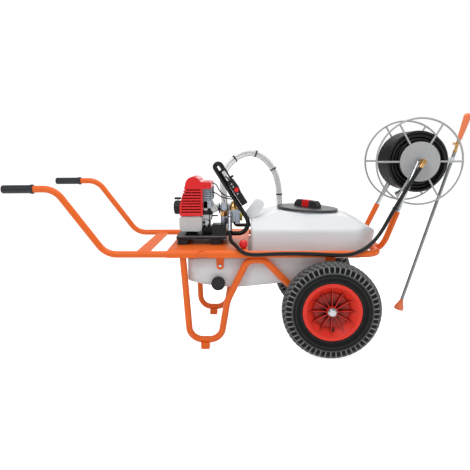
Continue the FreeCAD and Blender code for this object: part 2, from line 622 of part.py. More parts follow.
fall = math.tan(math.radians(s.deck_fall))
nose_back = s.tank_front - s.nose_chamfer
side_outline = [
    (-s.tank_rear, s.tank_floor + 30, 20), (-s.tank_rear + 75, s.tank_floor + 10, 50),
    (-s.sump_middle - 32, s.tank_floor, 25), (-s.sump_middle + 32, s.tank_floor, 25),
    (-s.sump_middle + 200, s.tank_floor + 18, 90), (s.tank_front - 76, s.tank_floor + 58, 40),
    (s.tank_front - 39, s.tank_shelf, 30), (s.tank_front - 13, s.tank_shelf + 37, 20),
    (s.tank_front, s.nose_height, 16),
    (s.deck_front, s.tank_deck - (s.deck_front + s.lid_reach) * fall, 40),
    (-s.deck_rear, s.tank_deck + (s.deck_rear - s.lid_reach) * fall, 30),
    (-s.tank_step, s.tank_step_top, 14), (-s.tank_step, s.tank_shelf, 8), (-s.tank_rear, s.tank_shelf, 16)]
crown = s.crown_half_width
crown_height = s.tank_shoulder + (s.tank_half_width - crown) * s.side_rise
cross_outline = [
    (-s.tank_half_width + s.tank_draft, s.tank_floor - 6, 24),
    (s.tank_half_width - s.tank_draft, s.tank_floor - 6, 24), (s.tank_half_width, s.tank_shelf - 60, 60),
    (s.tank_half_width, s.tank_shoulder, 14), (crown, crown_height, 20), (-crown, crown_height, 20),
    (-s.tank_half_width, s.tank_shoulder, 14), (-s.tank_half_width, s.tank_shelf - 60, 60)]
plan_outline = [
    (-s.tank_rear, -s.tank_half_width, s.tank_corner), (nose_back, -s.tank_half_width, 20),
    (s.tank_front, -s.tank_half_width + s.nose_chamfer, 24),
    (s.tank_front, s.tank_half_width - s.nose_chamfer, 24),
    (nose_back, s.tank_half_width, 20), (-s.tank_rear, s.tank_half_width, s.tank_corner)]


def step_corner(name, side, wall):
    """What the rounded upright corner beside the step leaves away."""
    rear, edge = -s.tank_step + wall, s.tank_half_width - wall
    bend = s.tank_corner - wall
    points = [(rear - 1, edge + 1), (rear - 1, edge - bend), (rear, edge - bend), (rear, edge, bend - 0.001),
              (rear + bend, edge), (rear + bend, edge + 1)]
    if side == NEAR:
        points = [(point[0], -point[1]) + tuple(point[2:]) for point in reversed(points)]
    body = new_body(name)
    pad(body, name + "_pad", sketch(body, name + "_outline", "XY_Plane", points), "tank_deck", symmetric=False)
    return place(body, z="tank_shelf - %s" % wall)


def tank_form(name, wall):
    long_way = plate(name + "_long", "XZ_Plane", inset(side_outline, wall), "2 * tank_half_width + 40")
    cross_way = plate(name + "_cross", "YZ_Plane", inset(cross_outline, wall),
                      "2 * (tank_rear + tank_front)", x="-(tank_rear - tank_front) / 2")
    plan_way = plate(name + "_plan", "XY_Plane", inset(plan_outline, wall), "2 * tank_deck", z="tank_deck")
    hipped = common(name + "_hipped", common(name + "_vault", long_way, cross_way), plan_way)
    return cut(name, hipped, step_corner(name + "_corner_near", NEAR, wall),
               step_corner(name + "_corner_far", FAR, wall))


def on_lid(name, profile):
    """A turned piece on the lid's axis, which leans forward with the sloping deck."""
    return turned(name, profile, x="-lid_reach", z="tank_deck", turn=(V(0, 1, 0), s.deck_fall))


def disc_profile(inner, outer, bottom, top):
    return [(inner, bottom), (outer, bottom), (outer, top), (inner, top)]


neck = on_lid("tank_neck", disc_profile(0, s.neck_across / 2, -2 * s.tank_wall, s.neck_height))
neck_bore = on_lid("tank_neck_bore", disc_profile(0, s.neck_bore / 2, -6 * s.tank_wall, 4 * s.neck_height))
drain_bore = rod("tank_drain_bore", "drain_bore", "tank_half_width - drain_root + tank_wall",
                 x="-drain_reach", y="-tank_half_width - tank_wall", z="drain_height", along="y")
tank_outside = tank_form("tank_outside", 0)
node("tank", cut("tank", fuse("tank_with_neck", tank_outside, neck),
                 tank_form("tank_inside", s.tank_wall), neck_bore, drain_bore))

seal_top = s.neck_height + s.seal_height
lid_under = seal_top + s.play
lid_over = lid_under + s.lid_top
node("lid_seal", on_lid("lid_seal", disc_profile(s.neck_bore / 2 + 1, s.neck_across / 2 - 1,
                                                 s.neck_height, seal_top)))
skirt_inside = s.neck_across / 2 + 2 * s.play
node("tank_lid", on_lid("tank_lid", [
    (0, lid_under), (skirt_inside, lid_under), (skirt_inside, lid_under - s.lid_drop),
    (s.lid_across / 2, lid_under - s.lid_drop, 1.5), (s.lid_across / 2, lid_over, 2), (0, lid_over)]))
half_bar = s.lid_bar_length / 2
bar_turn = FreeCAD.Rotation(V(0, 1, 0), s.deck_fall).multiply(FreeCAD.Rotation(V(0, 0, 1), -s.lid_bar_turn))
lid_bar = plate("lid_handle", "XZ_Plane", [
    (-half_bar, 0), (half_bar, 0), (half_bar, s.lid_bar_height * 0.45, 6),
    (half_bar * 0.76, s.lid_bar_height, 9), (-half_bar * 0.76, s.lid_bar_height, 9),
    (-half_bar, s.lid_bar_height * 0.45, 6)], "lid_bar_width",
    x="-lid_reach + (neck_height + seal_height + play + lid_top) * sin(deck_fall)",
    z="tank_deck + (neck_height + seal_height + play + lid_top) * cos(deck_fall)",
    turn=(bar_turn.Axis, math.degrees(bar_turn.Angle)))
node("lid_handle", lid_bar)

drain_neck = rod("drain_neck", "drain_across", "drain_mouth - drain_root", x="-drain_reach",
                 y="-drain_root", z="drain_height", along="-y")
drain_hole = rod("drain_hole", "drain_bore", "drain_mouth", x="-drain_reach", z="drain_height", along="-y")
node("drain_outlet", cut("drain_outlet", drain_neck, drain_hole, tank_outside))
cap_depth = s.drain_cap_front - s.drain_mouth - s.play
node("drain_cap", turned("drain_cap", [
    (s.drain_across / 2 + s.play, 0), (s.drain_cap_across / 2, 0, 1),
    (s.drain_cap_across / 2, s.drain_cap_length, 2.5), (0, s.drain_cap_length),
    (0, s.drain_cap_length - cap_depth), (s.drain_across / 2 + s.play, s.drain_cap_length - cap_depth)],
    x="-drain_reach", y="-drain_cap_front + drain_cap_length", z="drain_height", along="-y"))


def strap(name, side):
    """Tank strap: a flat bar that hangs from the rail beside the tank, with a round lower end."""
    half = s.strap_width / 2
    top = s.rail_height - s.tube_across / 2
    hanging = plate(name + "_bar", "XZ_Plane", [(-half, s.strap_end, half - 0.1), (half, s.strap_end, half - 0.1),
                                                (half, top), (-half, top)],
                    "plate", x="-strap_reach", y=side + " * (tank_half_width + play + plate / 2)")
    lip = plate(name + "_lip", "YZ_Plane",
                [(0, -s.plate), (s.rail_half_gap - s.tank_half_width, -s.plate),
                 (s.rail_half_gap - s.tank_half_width, 0), (0, 0)], "strap_width",
                x="-strap_reach", y="%s * (tank_half_width + play)" % side + (
                    "" if side == FAR else " - rail_half_gap + tank_half_width"),
                z="rail_height - tube_across / 2")
    return fuse(name, hanging, lip)


node("tank_straps", both("tank_strap", strap))


bowl = plate("bowl_block", "XZ_Plane",
             [(-s.bowl_across / 2, -s.bowl_length / 2, 6), (s.bowl_across / 2, -s.bowl_length / 2, 6),
              (s.bowl_across / 2, s.bowl_length / 2, 16), (-s.bowl_across / 2, s.bowl_length / 2, 16)],
             "bowl_width", x="-bowl_reach", y="-bowl_side", z="bowl_height", turn=(V(0, 1, 0), s.bowl_tilt))
node("strainer_bowl", cut("strainer_bowl", bowl, tank_outside))

# Reel: two rod rings, each on six spokes that are let into it, a drum between two discs and a shaft

DRUM_END = "(ring_half_gap + ring_rod / 2 + weld)"
SPOKE_ROOT = "(drum_across / 2 + weld)"


def reel_side(name, side):
    """One ring and its spokes, which reach the drum's wall behind the disc."""
    ring = doc.addObject("Part::Torus", name + "_ring")
    bind(ring, "Radius1", "ring_radius - ring_rod / 2")
    bind(ring, "Radius2", "ring_rod / 2")
    place(ring, "reel_reach", side + " * ring_half_gap", "reel_height", TURNS["y"])
    spokes = [rod("%s_spoke_%d" % (name, i), "ring_rod", "ring_radius - ring_rod / 2 - " + SPOKE_ROOT,
                  x="reel_reach + %s * cos(%d)" % (SPOKE_ROOT, 60 * i), y=side + " * ring_half_gap",
                  z="reel_height + %s * sin(%d)" % (SPOKE_ROOT, 60 * i), turn=(V(0, 1, 0), 90 - 60 * i))
              for i in range(6)]
    return [cut(name + "_notched_ring", ring, *spokes)] + spokes


def reel_disc(name, side):
    return rod(name, "hub_disc_across", "hub_disc", x="reel_reach", y="%s * %s" % (side, DRUM_END),
               z="reel_height", along="-y" if side == NEAR else "y")


drum_rod = rod("drum_rod", "drum_across", "2 * " + DRUM_END, x="reel_reach", y="-" + DRUM_END,
               z="reel_height", along="y")
drum_bore = rod("drum_bore", "drum_across - 2 * drum_wall", "2 * " + DRUM_END, x="reel_reach",
                y="-" + DRUM_END, z="reel_height", along="y")
reel_shaft = rod("reel_shaft", "reel_shaft_across", "2 * reel_shaft_half", x="reel_reach",
                 y="-reel_shaft_half", z="reel_height", along="y")
spool = fuse("spool", cut("drum", drum_rod, drum_bore), reel_shaft,
             reel_disc("disc_near", NEAR), reel_disc("disc_far", FAR))
node("reel", group("reel", spool, *reel_side("reel_near", NEAR), *reel_side("reel_far", FAR)))
pack_rod = rod("pack_rod", "pack_across", "2 * pack_half_width", x="reel_reach", y="-pack_half_width",
               z="reel_height", along="y")
pack_bore = rod("pack_bore", "drum_across + 2 * play", "2 * pack_half_width", x="reel_reach",
                y="-pack_half_width", z="reel_height", along="y")
HOSE_TAIL = [(404, 90, 659.5), (386, 90, 652.5), (373, 90, 644), (364, 90, 635)]
tail = feature("hose_tail", hose("hose tail", HOSE_TAIL, s.pack_hose_across))
tail_end, tail_run = V(*HOSE_TAIL[-1]), V(*HOSE_TAIL[-1]) - V(*HOSE_TAIL[-2])
tail_fall = 90 + math.degrees(math.atan2(-tail_run.z, -tail_run.x))
coupling = turned("hose_coupling", [
    (0, s.fit), (s.pack_hose_across * 0.6, s.fit, 1), (s.pack_hose_across * 0.87, 4, 1),
    (s.pack_hose_across * 0.87, 16, 1), (s.pack_hose_across * 0.55, 16), (s.pack_hose_across * 0.55, 8), (0, 8)],
    x="%.3f" % tail_end.x, y="%.3f" % tail_end.y, z="%.3f" % tail_end.z, turn=(V(0, -1, 0), tail_fall))
node("hose_pack", group("hose_pack", cut("pack_ring", pack_rod, pack_bore),
                        cut("hose_tail_outside", tail, pack_rod), coupling))

# Yoke: a bent tube in front of the frame that leans forward, with plain arms let into its ends

yoke_run = s.reel_reach - s.arm_offset - s.yoke_reach
yoke_rise = s.reel_height - s.yoke_height
yoke_length = math.hypot(yoke_run, yoke_rise)
yoke_slope = math.degrees(math.atan2(yoke_rise, yoke_run))
arm_taper = (s.yoke_half_width - s.arm_half_gap) / yoke_length
joint_half = s.yoke_half_width - arm_taper * s.arm_joint
lean_back = (V(0, 1, 0), -yoke_slope)

yoke_tube = bent_tube("yoke_tube", "XY_Plane",
                      [(s.arm_joint, -joint_half), (0, -s.yoke_half_width, s.yoke_bend),
                       (0, s.yoke_half_width, s.yoke_bend), (s.arm_joint, joint_half)],
                      "yoke_across", "yoke_wall", x="yoke_reach", z="yoke_height", turn=lean_back)


def lug(name, side):
    """A flat lug that joins the yoke's lower bar to the front tube."""
    front = s.yoke_reach + s.yoke_across / 2
    return plate(name, "XZ_Plane", [(s.front_tube_reach, s.rail_height - 10, 4), (front, s.rail_height - 10, 4),
                                    (front, s.rail_height + 8, 4), (s.front_tube_reach, s.rail_height + 8, 4)],
                 "lug_width", y=side + " * lug_offset")


front_space = rod("front_tube_space", "tube_across", "2 * rail_half_gap", x="front_tube_reach",
                  y="-rail_half_gap", z="rail_height", along="y")
yoke_space = rod("yoke_bore_space", "yoke_across - 2 * yoke_wall", "2 * yoke_half_width", x="yoke_reach",
                 y="-yoke_half_width", z="yoke_height", along="y")
lugs = cut("yoke_lugs", fuse("yoke_lug_pair", lug("lug_near", NEAR), lug("lug_far", FAR)),
           front_space, yoke_space)
yoke_cut = rod("yoke_cut", "tube_across", "2 * rail_half_gap", x="front_tube_reach", y="-rail_half_gap",
               z="rail_height", along="y")
node("reel_yoke", fuse("reel_yoke", cut("yoke_seated", yoke_tube, yoke_cut), lugs))

arm_full = math.hypot(yoke_length, s.yoke_half_width - s.arm_half_gap)
arm_angle = math.degrees(math.atan2(s.yoke_half_width - s.arm_half_gap, yoke_length))


def arm(name, side):
    """A plain tube from inside the yoke's end up to the boss that carries the reel's shaft."""
    sign = 1 if side == NEAR else -1
    start = s.arm_joint - s.arm_insert
    turn = FreeCAD.Rotation(V(0, 1, 0), -yoke_slope).multiply(FreeCAD.Rotation(V(0, 0, 1), sign * arm_angle))
    along = turn.multVec(V(1, 0, 0))
    foot = V(s.yoke_reach, -sign * s.yoke_half_width, s.yoke_height) + along * start
    axis = turn.multiply(FreeCAD.Rotation(V(0, 1, 0), 90))
    tube = doc.addObject("Part::Cylinder", name + "_tube")
    bind(tube, "Radius", "arm_across / 2")
    tube.Height = arm_full - start
    tube.Placement = FreeCAD.Placement(foot, axis)
    hole = doc.addObject("Part::Cylinder", name + "_hole")
    bind(hole, "Radius", "arm_across / 2 - arm_wall")
    hole.Height = arm_full - start
    hole.Placement = FreeCAD.Placement(foot, axis)
    boss = rod(name + "_boss", "arm_boss_across", "arm_boss_length", x="reel_reach",
               y=side + " * arm_half_gap - arm_boss_length / 2", z="reel_height", along="y")
    bearing = rod(name + "_bearing", "reel_shaft_across + fit", "2 * arm_boss_length", x="reel_reach",
                  y=side + " * arm_half_gap - arm_boss_length", z="reel_height", along="y")
    return cut(name, fuse(name + "_with_boss", cut(name + "_pipe", tube, hole), boss), bearing)


lance_tilt = math.radians(s.lance_lean)
lance_tip_x = s.front_reach - s.lance_grip_across / 2
clip_reach = lance_tip_x - (s.lance_top - s.reel_height) * math.tan(lance_tilt)
lance_turn = (V(0, 1, 0), 180 + s.lance_lean)


def on_lance(name, profile):
    """A turned piece on the lance: distances run down the lance from the middle of its rounded top."""
    return turned(name, profile, x="front_reach - lance_grip_across / 2", y="lance_side", z="lance_top",
                  turn=lance_turn)


bracket = plate("lance_bracket", "XZ_Plane",
                [(s.reel_reach - 15, s.reel_height - s.bracket_height / 2, 10),
                 (clip_reach + 10, s.reel_height - s.bracket_height / 2, 6),
                 (clip_reach + 10, s.reel_height + s.bracket_height / 2, 6),
                 (s.reel_reach - 15, s.reel_height + s.bracket_height / 2, 10)],
                "plate", y="arm_half_gap + arm_boss_length / 2 + plate / 2",
                circles=[(s.reel_reach, s.reel_height, "reel_shaft_across + 2 * play")])
clip_down = (s.lance_top - s.reel_height) / math.cos(lance_tilt)
clip = on_lance("lance_clip", [
    (s.lance_tube_across / 2 + s.play, clip_down - s.clip_width / 2),
    (s.lance_tube_across / 2 + s.play + s.plate, clip_down - s.clip_width / 2, 1),
    (s.lance_tube_across / 2 + s.play + s.plate, clip_down + s.clip_width / 2, 1),
    (s.lance_tube_across / 2 + s.play, clip_down + s.clip_width / 2)])
clip_space = on_lance("lance_clip_space", [
    (0, clip_down - 3 * s.clip_width), (s.lance_tube_across / 2 + s.play, clip_down - 3 * s.clip_width),
    (s.lance_tube_across / 2 + s.play, clip_down + 3 * s.clip_width), (0, clip_down + 3 * s.clip_width)])
node("reel_arms", group("reel_arms", arm("arm_near", NEAR),
                        fuse("arm_far_with_bracket", arm("arm_far", FAR),
                             cut("lance_holder", fuse("lance_holder_solid", bracket, clip), clip_space))))

swivel_run = rod("swivel_run", "reel_shaft_across", "24", x="reel_reach",
                 y="-(reel_shaft_half + play)", z="reel_height", along="-y")
swivel_nut = rod("swivel_nut", "1.3 * reel_shaft_across", "9", x="reel_reach",
                 y="-(reel_shaft_half + play + 2)", z="reel_height", along="-y")
hose_dive = (V(0, 1, 0), 180 + 31)
swivel_tail = rod("swivel_tail", "hose_across + 2", "26", x="reel_reach",
                  y="-(reel_shaft_half + play + 14)", z="reel_height", turn=hose_dive)
node("swivel_fitting", fuse("swivel_fitting", swivel_run, swivel_nut, swivel_tail))

# Lance: twist grip, brass valve, thin tube and a flared nozzle cap

grip_radius = s.lance_grip_across / 2
neck_radius = s.lance_neck_across / 2
node("lance_grip", on_lance("lance_grip", [
    (0, -grip_radius), (grip_radius, -grip_radius, grip_radius - 0.01), (grip_radius, 0),
    (grip_radius * 0.64, s.lance_grip_length, 2), (neck_radius + s.fit / 2, s.lance_grip_length),
    (neck_radius + s.fit / 2, grip_radius), (0, grip_radius)]))
valve_radius = s.lance_valve_across / 2
valve_body = on_lance("lance_valve_body", [
    (0, grip_radius + s.play), (neck_radius, grip_radius + s.play), (neck_radius, s.lance_grip_length + s.play),
    (valve_radius, s.lance_grip_length + s.play, 1), (valve_radius, s.lance_grip_length + 24, 2),
    (neck_radius + 1, s.lance_grip_length + 28, 2), (neck_radius + 1, s.lance_valve_end - 14, 1),
    (valve_radius, s.lance_valve_end - 12, 1), (valve_radius, s.lance_valve_end, 1), (0, s.lance_valve_end)])
port_drop = 134
port = rod("lance_port", "lance_neck_across", "22",
           x="front_reach - lance_grip_across / 2 - %d * sin(lance_lean)" % port_drop, y="lance_side",
           z="lance_top - %d * cos(lance_lean)" % port_drop, turn=(V(0, 1, 0), -90 + 16.5))
node("lance_valve", fuse("lance_valve", valve_body, port))
tube_radius = s.lance_tube_across / 2
node("lance_tube", on_lance("lance_tube", [
    (tube_radius - s.lance_tube_wall, s.lance_valve_end), (tube_radius, s.lance_valve_end),
    (tube_radius, s.lance_tube_end), (tube_radius - s.lance_tube_wall, s.lance_tube_end)]))
cap_radius = s.nozzle_across / 2
node("lance_nozzle", on_lance("lance_nozzle", [
    (2, s.lance_tube_end + s.play), (tube_radius + 4, s.lance_tube_end + s.play, 2),
    (tube_radius + 6, s.lance_tube_end + 12, 4), (cap_radius, s.lance_tube_end + s.nozzle_length - 14, 6),
    (cap_radius, s.lance_tube_end + s.nozzle_length, 2), (cap_radius - 5, s.lance_tube_end + s.nozzle_length),
    (cap_radius - 9, s.lance_tube_end + s.nozzle_length - 18, 3), (2, s.lance_tube_end + 20)]))

# Engine on its folded base, which stands on four rubber mounts

base_length = "(base_rear - base_front)"
base_width = "(base_near + base_far)"
tray = cut("base_tray",
           box("base_block", base_length, base_width, "base_depth", x="-base_rear", y="-base_near",
               z="base_top - base_depth"),
           box("base_hollow", base_length + " - 2 * sheet", base_width + " - 2 * sheet", "base_depth - sheet",
               x="-base_rear + sheet", y="-base_near + sheet", z="base_top - base_depth"))
waist_start = "-crankcase_rear + case_waist_start"
cradle = box("engine_cradle", "case_waist - 2 * weld", "case_waist_across", "crank_height - base_top",
             x=waist_start + " + weld", y="-engine_side - case_waist_across / 2", z="base_top")
cradle_space = rod("cradle_space", "case_waist_across + 2 * weld", "2 * case_waist",
                   x=waist_start + " - case_waist / 2", y="-engine_side", z="crank_height", along="x")
fuel_foot = box("fuel_foot", "(fuel_rear - fuel_front) / 2", "fuel_width / 2", "fuel_bottom - base_top",
                x="-fuel_rear + (fuel_rear - fuel_front) / 4", y="-engine_side - fuel_width / 4", z="base_top")
pump_stand = cut("pump_stand",
                 box("pump_stand_block", "stand_length", "stand_width", "pump_bottom - base_top",
                     x="-base_front - stand_length", y="-stand_near", z="base_top"),
                 box("pump_stand_hollow", "stand_length - 2 * plate", "stand_width", "pump_bottom - base_top",
                     x="-base_front - stand_length + plate", y="-stand_near + plate", z="base_top - plate"))
pump_shelf = box("pump_shelf", "(pump_rear - pump_front) * 0.8", "pump_near - pump_far", "plate", x="-pump_rear",
                 y="-pump_near", z="pump_bottom - plate")
pump_post = box("pump_post", "pump_rear - base_front", "pump_near - pump_far", "pump_bottom - base_top",
                x="-pump_rear", y="-pump_near", z="base_top")
node("engine_base", fuse("engine_base", tray, cut("cradle", cradle, cradle_space), fuel_foot, pump_stand,
                         pump_shelf, pump_post))


def rubber_mount(name, reach, offset):
    half, depth = s.mount_length / 2, s.mount_width / 2
    body = new_body(name)
    drawing = sketch(body, name + "_outline", "XY_Plane",
                     [(-half, -depth, 5), (half, -depth, 5), (half, depth, 5), (-half, depth, 5)])
    pad(body, name + "_pad", drawing, "base_top - sheet - (%s)" % PLATFORM_TOP, symmetric=False)
    return place(body, reach, offset, PLATFORM_TOP)


mount_spots = [(x, y) for x in ("-base_rear + sheet + play + mount_length / 2",
                                "-base_front - sheet - mount_length")
               for y in ("-base_near + sheet + play + mount_width / 2",
                         "base_far - sheet - play - mount_width / 2")]
node("rubber_mounts", group("rubber_mounts", *[
    rubber_mount("rubber_mount_%d" % i, x, y) for i, (x, y) in enumerate(mount_spots)]))

case, waist = s.crankcase_across / 2, s.case_waist_across / 2
waist_end = s.case_waist_start + s.case_waist
case_length = s.crankcase_rear - s.pump_rear
node("crankcase", turned("crankcase", [
    (0, 0), (case, 0, 4), (case, s.case_waist_start - 6, 3), (waist, s.case_waist_start), (waist, waist_end),
    (case - 2, waist_end + 2, 1), (case - 2, waist_end + 12, 1), (case - 16, waist_end + 16, 4),
    (case - 16, case_length), (0, case_length)],
    x="-crankcase_rear", y="-engine_side", z="crank_height", along="x"))

barrel = box("cylinder_block", "cylinder_length", "cylinder_width", "cylinder_top - crank_height",
             x="-cylinder_reach - cylinder_length / 2", y="-engine_side - cylinder_width / 2", z="crank_height")
crank_space = rod("cylinder_seat", "crankcase_across", "2 * cylinder_length",
                  x="-cylinder_reach - cylinder_length", y="-engine_side", z="crank_height", along="x")
fin_count = int((s.cylinder_top - s.crank_height - s.crankcase_across / 2) / s.fin_pitch)
fin_cuts = []
for i in range(fin_count):
    level = "cylinder_top - %d * fin_pitch - fin_gap - 2" % i
    whole = box("fin_gap_%d" % i, "cylinder_length", "cylinder_width", "fin_gap",
                x="-cylinder_reach - cylinder_length / 2", y="-engine_side - cylinder_width / 2", z=level)
    core = box("fin_core_%d" % i, "cylinder_length - 2 * fin_depth", "cylinder_width - 2 * fin_depth", "fin_gap",
               x="-cylinder_reach - cylinder_length / 2 + fin_depth",
               y="-engine_side - cylinder_width / 2 + fin_depth", z=level)
    fin_cuts.append(cut("fin_slot_%d" % i, whole, core))
finned = cut("finned_cylinder", barrel, crank_space, *fin_cuts)
muffler = plate("muffler", "XZ_Plane", [
    (-s.muffler_length / 2, 0, 10), (s.muffler_length / 2, 0, 10),
    (s.muffler_length / 2, s.muffler_height, 10), (-s.muffler_length / 2, s.muffler_height, 10)],
    "muffler_width", x="-cylinder_reach + 14",
    y="-engine_side + shroud_width / 2 + muffler_width / 2 + play", z="cylinder_top - 76")
node("cylinder", group("cylinder", finned, muffler))

box_root = s.shroud_front + 8
shroud_outline = [
    (-s.shroud_rear, s.shroud_bottom, 6), (-s.shroud_front, s.shroud_bottom, 6),
    (-s.shroud_front, s.plug_box_bottom, 8), (-s.plug_box_front, s.plug_box_bottom, 4),
    (-s.plug_box_front, s.plug_box_top, 8), (-box_root, s.plug_box_top, 18),
    (-box_root - 10, s.shroud_top, 24), (-s.shroud_rear + 35, s.shroud_top, 30),
    (-s.shroud_rear, s.shroud_shoulder, 40)]
shroud_form = plate("shroud_form", "XZ_Plane", shroud_outline, "shroud_width",
                    y="-engine_side")
shroud_room = plate("shroud_room", "XZ_Plane", inset(shroud_outline, s.shroud_wall),
                    "shroud_width - 2 * shroud_wall", y="-engine_side")
open_width, open_near = "cylinder_width + 4 * play", "-engine_side - cylinder_width / 2 - 2 * play"
shroud_side = box("shroud_open_side", "cylinder_length", open_width,
                  "plug_box_bottom - shroud_bottom + 3 * shroud_wall", x="-crankcase_rear - play", y=open_near,
                  z="shroud_bottom - shroud_wall")
shroud_floor = box("shroud_open_floor", "shroud_rear - crankcase_rear - 3 * shroud_wall", open_width,
                   "3 * shroud_wall", x="-shroud_rear + 3 * shroud_wall", y=open_near,
                   z="shroud_bottom - shroud_wall")
louvres = [box("louvre_%d" % i, "shroud_rear - shroud_front - 2 * louvre_inset - %d" % i, "2 * shroud_width",
               "louvre_height", x="-shroud_rear + louvre_inset + %d" % i, y="-engine_side - shroud_width",
               z="louvre_bottom + %d * louvre_pitch" % i) for i in range(9)]
node("engine_shroud", cut("engine_shroud", shroud_form, shroud_room, shroud_side, shroud_floor, *louvres))

recoil_radius = s.recoil_across / 2
node("recoil_case", turned("recoil_case", [
    (0, 0), (recoil_radius - 6, 0, 6), (recoil_radius, 6, 4), (recoil_radius, s.recoil_depth, 1),
    (recoil_radius - 4, s.recoil_depth), (recoil_radius - 4, 8), (0, 8)],
    x="-shroud_rear - recoil_depth", y="-engine_side", z="crank_height", along="x"))
pull_x = "(-shroud_rear - recoil_depth / 2)"
node("starter_rope", rod("starter_rope", "pull_rope_across", "pull_rope_shown", x=pull_x, y="-engine_side",
                         z="crank_height + recoil_across / 2"))
half_pull = s.pull_grip_length / 2
node("starter_grip", plate("starter_grip", "XZ_Plane", [
    (-half_pull, 0, 3), (half_pull, 0, 3), (half_pull, s.pull_grip_height, 3), (-half_pull, s.pull_grip_height, 3)],
    "pull_grip_width", x=pull_x, y="-engine_side",
    z="crank_height + recoil_across / 2 + pull_rope_shown + play"))

fuel_outline = [(-s.fuel_rear, s.fuel_bottom, 18), (-s.fuel_front, s.fuel_bottom, 18),
                (-s.fuel_front, s.fuel_top, 12), (-s.fuel_rear, s.fuel_top, 12)]
fuel_form = plate("fuel_form", "XZ_Plane", fuel_outline, "fuel_width", y="-engine_side")
fuel_room = plate("fuel_room", "XZ_Plane", inset(fuel_outline, s.fuel_wall), "fuel_width - 2 * fuel_wall",
                  y="-engine_side")
node("fuel_tank", cut("fuel_tank", fuel_form, fuel_room))
cap = s.fuel_cap_across / 2
node("fuel_cap", turned("fuel_cap", [(0, 0), (cap, 0, 1), (cap, s.fuel_cap_length, 3), (0, s.fuel_cap_length)],
                        x="-(fuel_rear + fuel_front) / 2", y="-engine_side + fuel_width / 2 + play",
                        z="(fuel_bottom + fuel_top) / 2 + 6", along="y"))

# Pump: a body on the crankcase's end, a brass head with its dome, an air cylinder and the regulator

pump_flange = rod("pump_flange", "pump_flange_across", "pump_flange", x="-pump_rear + play", y="-engine_side",
                  z="crank_height", along="x")
pump_block = plate("pump_block", "XZ_Plane", [
    (-s.pump_rear + s.play, s.pump_bottom, 4), (-s.pump_front, s.pump_bottom, 8), (-s.pump_front, s.pump_top, 14),
    (-s.pump_rear + s.play, s.pump_top, 6)], "pump_near - pump_far", y="-(pump_near + pump_far) / 2")
head = plate("head_block", "XZ_Plane", [
    (-s.head_width / 2, s.head_bottom, 4), (s.head_width / 2, s.head_bottom, 4),
    (s.head_width / 2, s.head_top, 4), (-s.head_width / 2, s.head_top, 4)],
    "head_depth", x="-head_reach", y="-pump_near - head_depth / 2")
dome = s.dome_across / 2
head_dome = turned("head_dome", [(0, 0), (dome, 0), (dome, s.dome_height * 0.4, 5), (dome * 0.62, s.dome_height - 8, 6),
                                 (dome * 0.45, s.dome_height, 3), (0, s.dome_height)],
                   x="-head_reach", y="-pump_near - head_depth / 2", z="head_top")
head_face = "-pump_near - head_depth"
outlet_stub = rod("outlet_stub", "stub_across", "elbow_gap + weld", x="-outlet_reach",
                  y=head_face + " + weld", z="outlet_height", along="-y")
elbow = doc.addObject("Part::Sphere", "outlet_elbow")
bind(elbow, "Radius", "elbow_across / 2")
place(elbow, "-outlet_reach", head_face + " - elbow_gap", "outlet_height")
ferrule_turn = (V(1, 0, 0), 180 - s.ferrule_lean)
spigot = rod("outlet_spigot", "stub_across", "elbow_across / 2 + play", x="-outlet_reach",
             y=head_face + " - elbow_gap", z="outlet_height", turn=ferrule_turn)
tee_edge = "socket_across * 0.35"
tee = box("hose_tee", "socket_reach + %s - head_reach - head_width / 2 + weld" % tee_edge, "2 * " + tee_edge,
          "socket_bottom - tee_bottom", x="-socket_reach - " + tee_edge, y="-socket_side - " + tee_edge,
          z="tee_bottom")
node("pump_head", fuse("pump_head", head, head_dome, outlet_stub, elbow, spigot, tee))
socket = s.socket_across / 2
socket_length = s.socket_top - s.socket_bottom
hose_socket = turned("hose_socket", [
    (0, 0), (socket - 4, 0, 2), (socket - 4, 8, 2), (socket, 8), (socket, socket_length), (0, socket_length)],
    x="-socket_reach", y="-socket_side", z="socket_bottom")
node("pump_body", group("pump_body", fuse("pump_casing", pump_flange, pump_block), hose_socket))
node("suction_pipe", bent_tube("suction_pipe", "XZ_Plane", [
    (-s.suction_reach, s.pump_bottom - s.plate), (-s.suction_reach, s.suction_height, 12),
    (-s.tank_step - s.play, s.suction_height)], "suction_across", "suction_wall", y="-suction_side"))
knob = s.regulator_across / 2
node("regulator_knob", turned("regulator_knob", [
    (0, 0), (knob - 3, 0, 1), (knob, 3, 2), (knob, s.regulator_length, 2), (0, s.regulator_length)],
    x="-pump_front + play", y="-regulator_side", z="regulator_height", along="x"))
ferrule = s.ferrule_across / 2
node("outlet_fitting", turned("outlet_fitting", [
    (0, 0), (ferrule + 1.5, 0, 1), (ferrule + 1.5, 10, 1), (ferrule - 2, 12), (ferrule, 14, 1),
    (ferrule, s.ferrule_length, 1), (0, s.ferrule_length)],
    x="-outlet_reach", y="%s - elbow_gap - (elbow_across / 2 + play) * sin(ferrule_lean)" % head_face,
    z="outlet_height - (elbow_across / 2 + play) * cos(ferrule_lean)", turn=ferrule_turn))

# Control handle: a black tube bent into a loop, with the throttle grip on its upper end

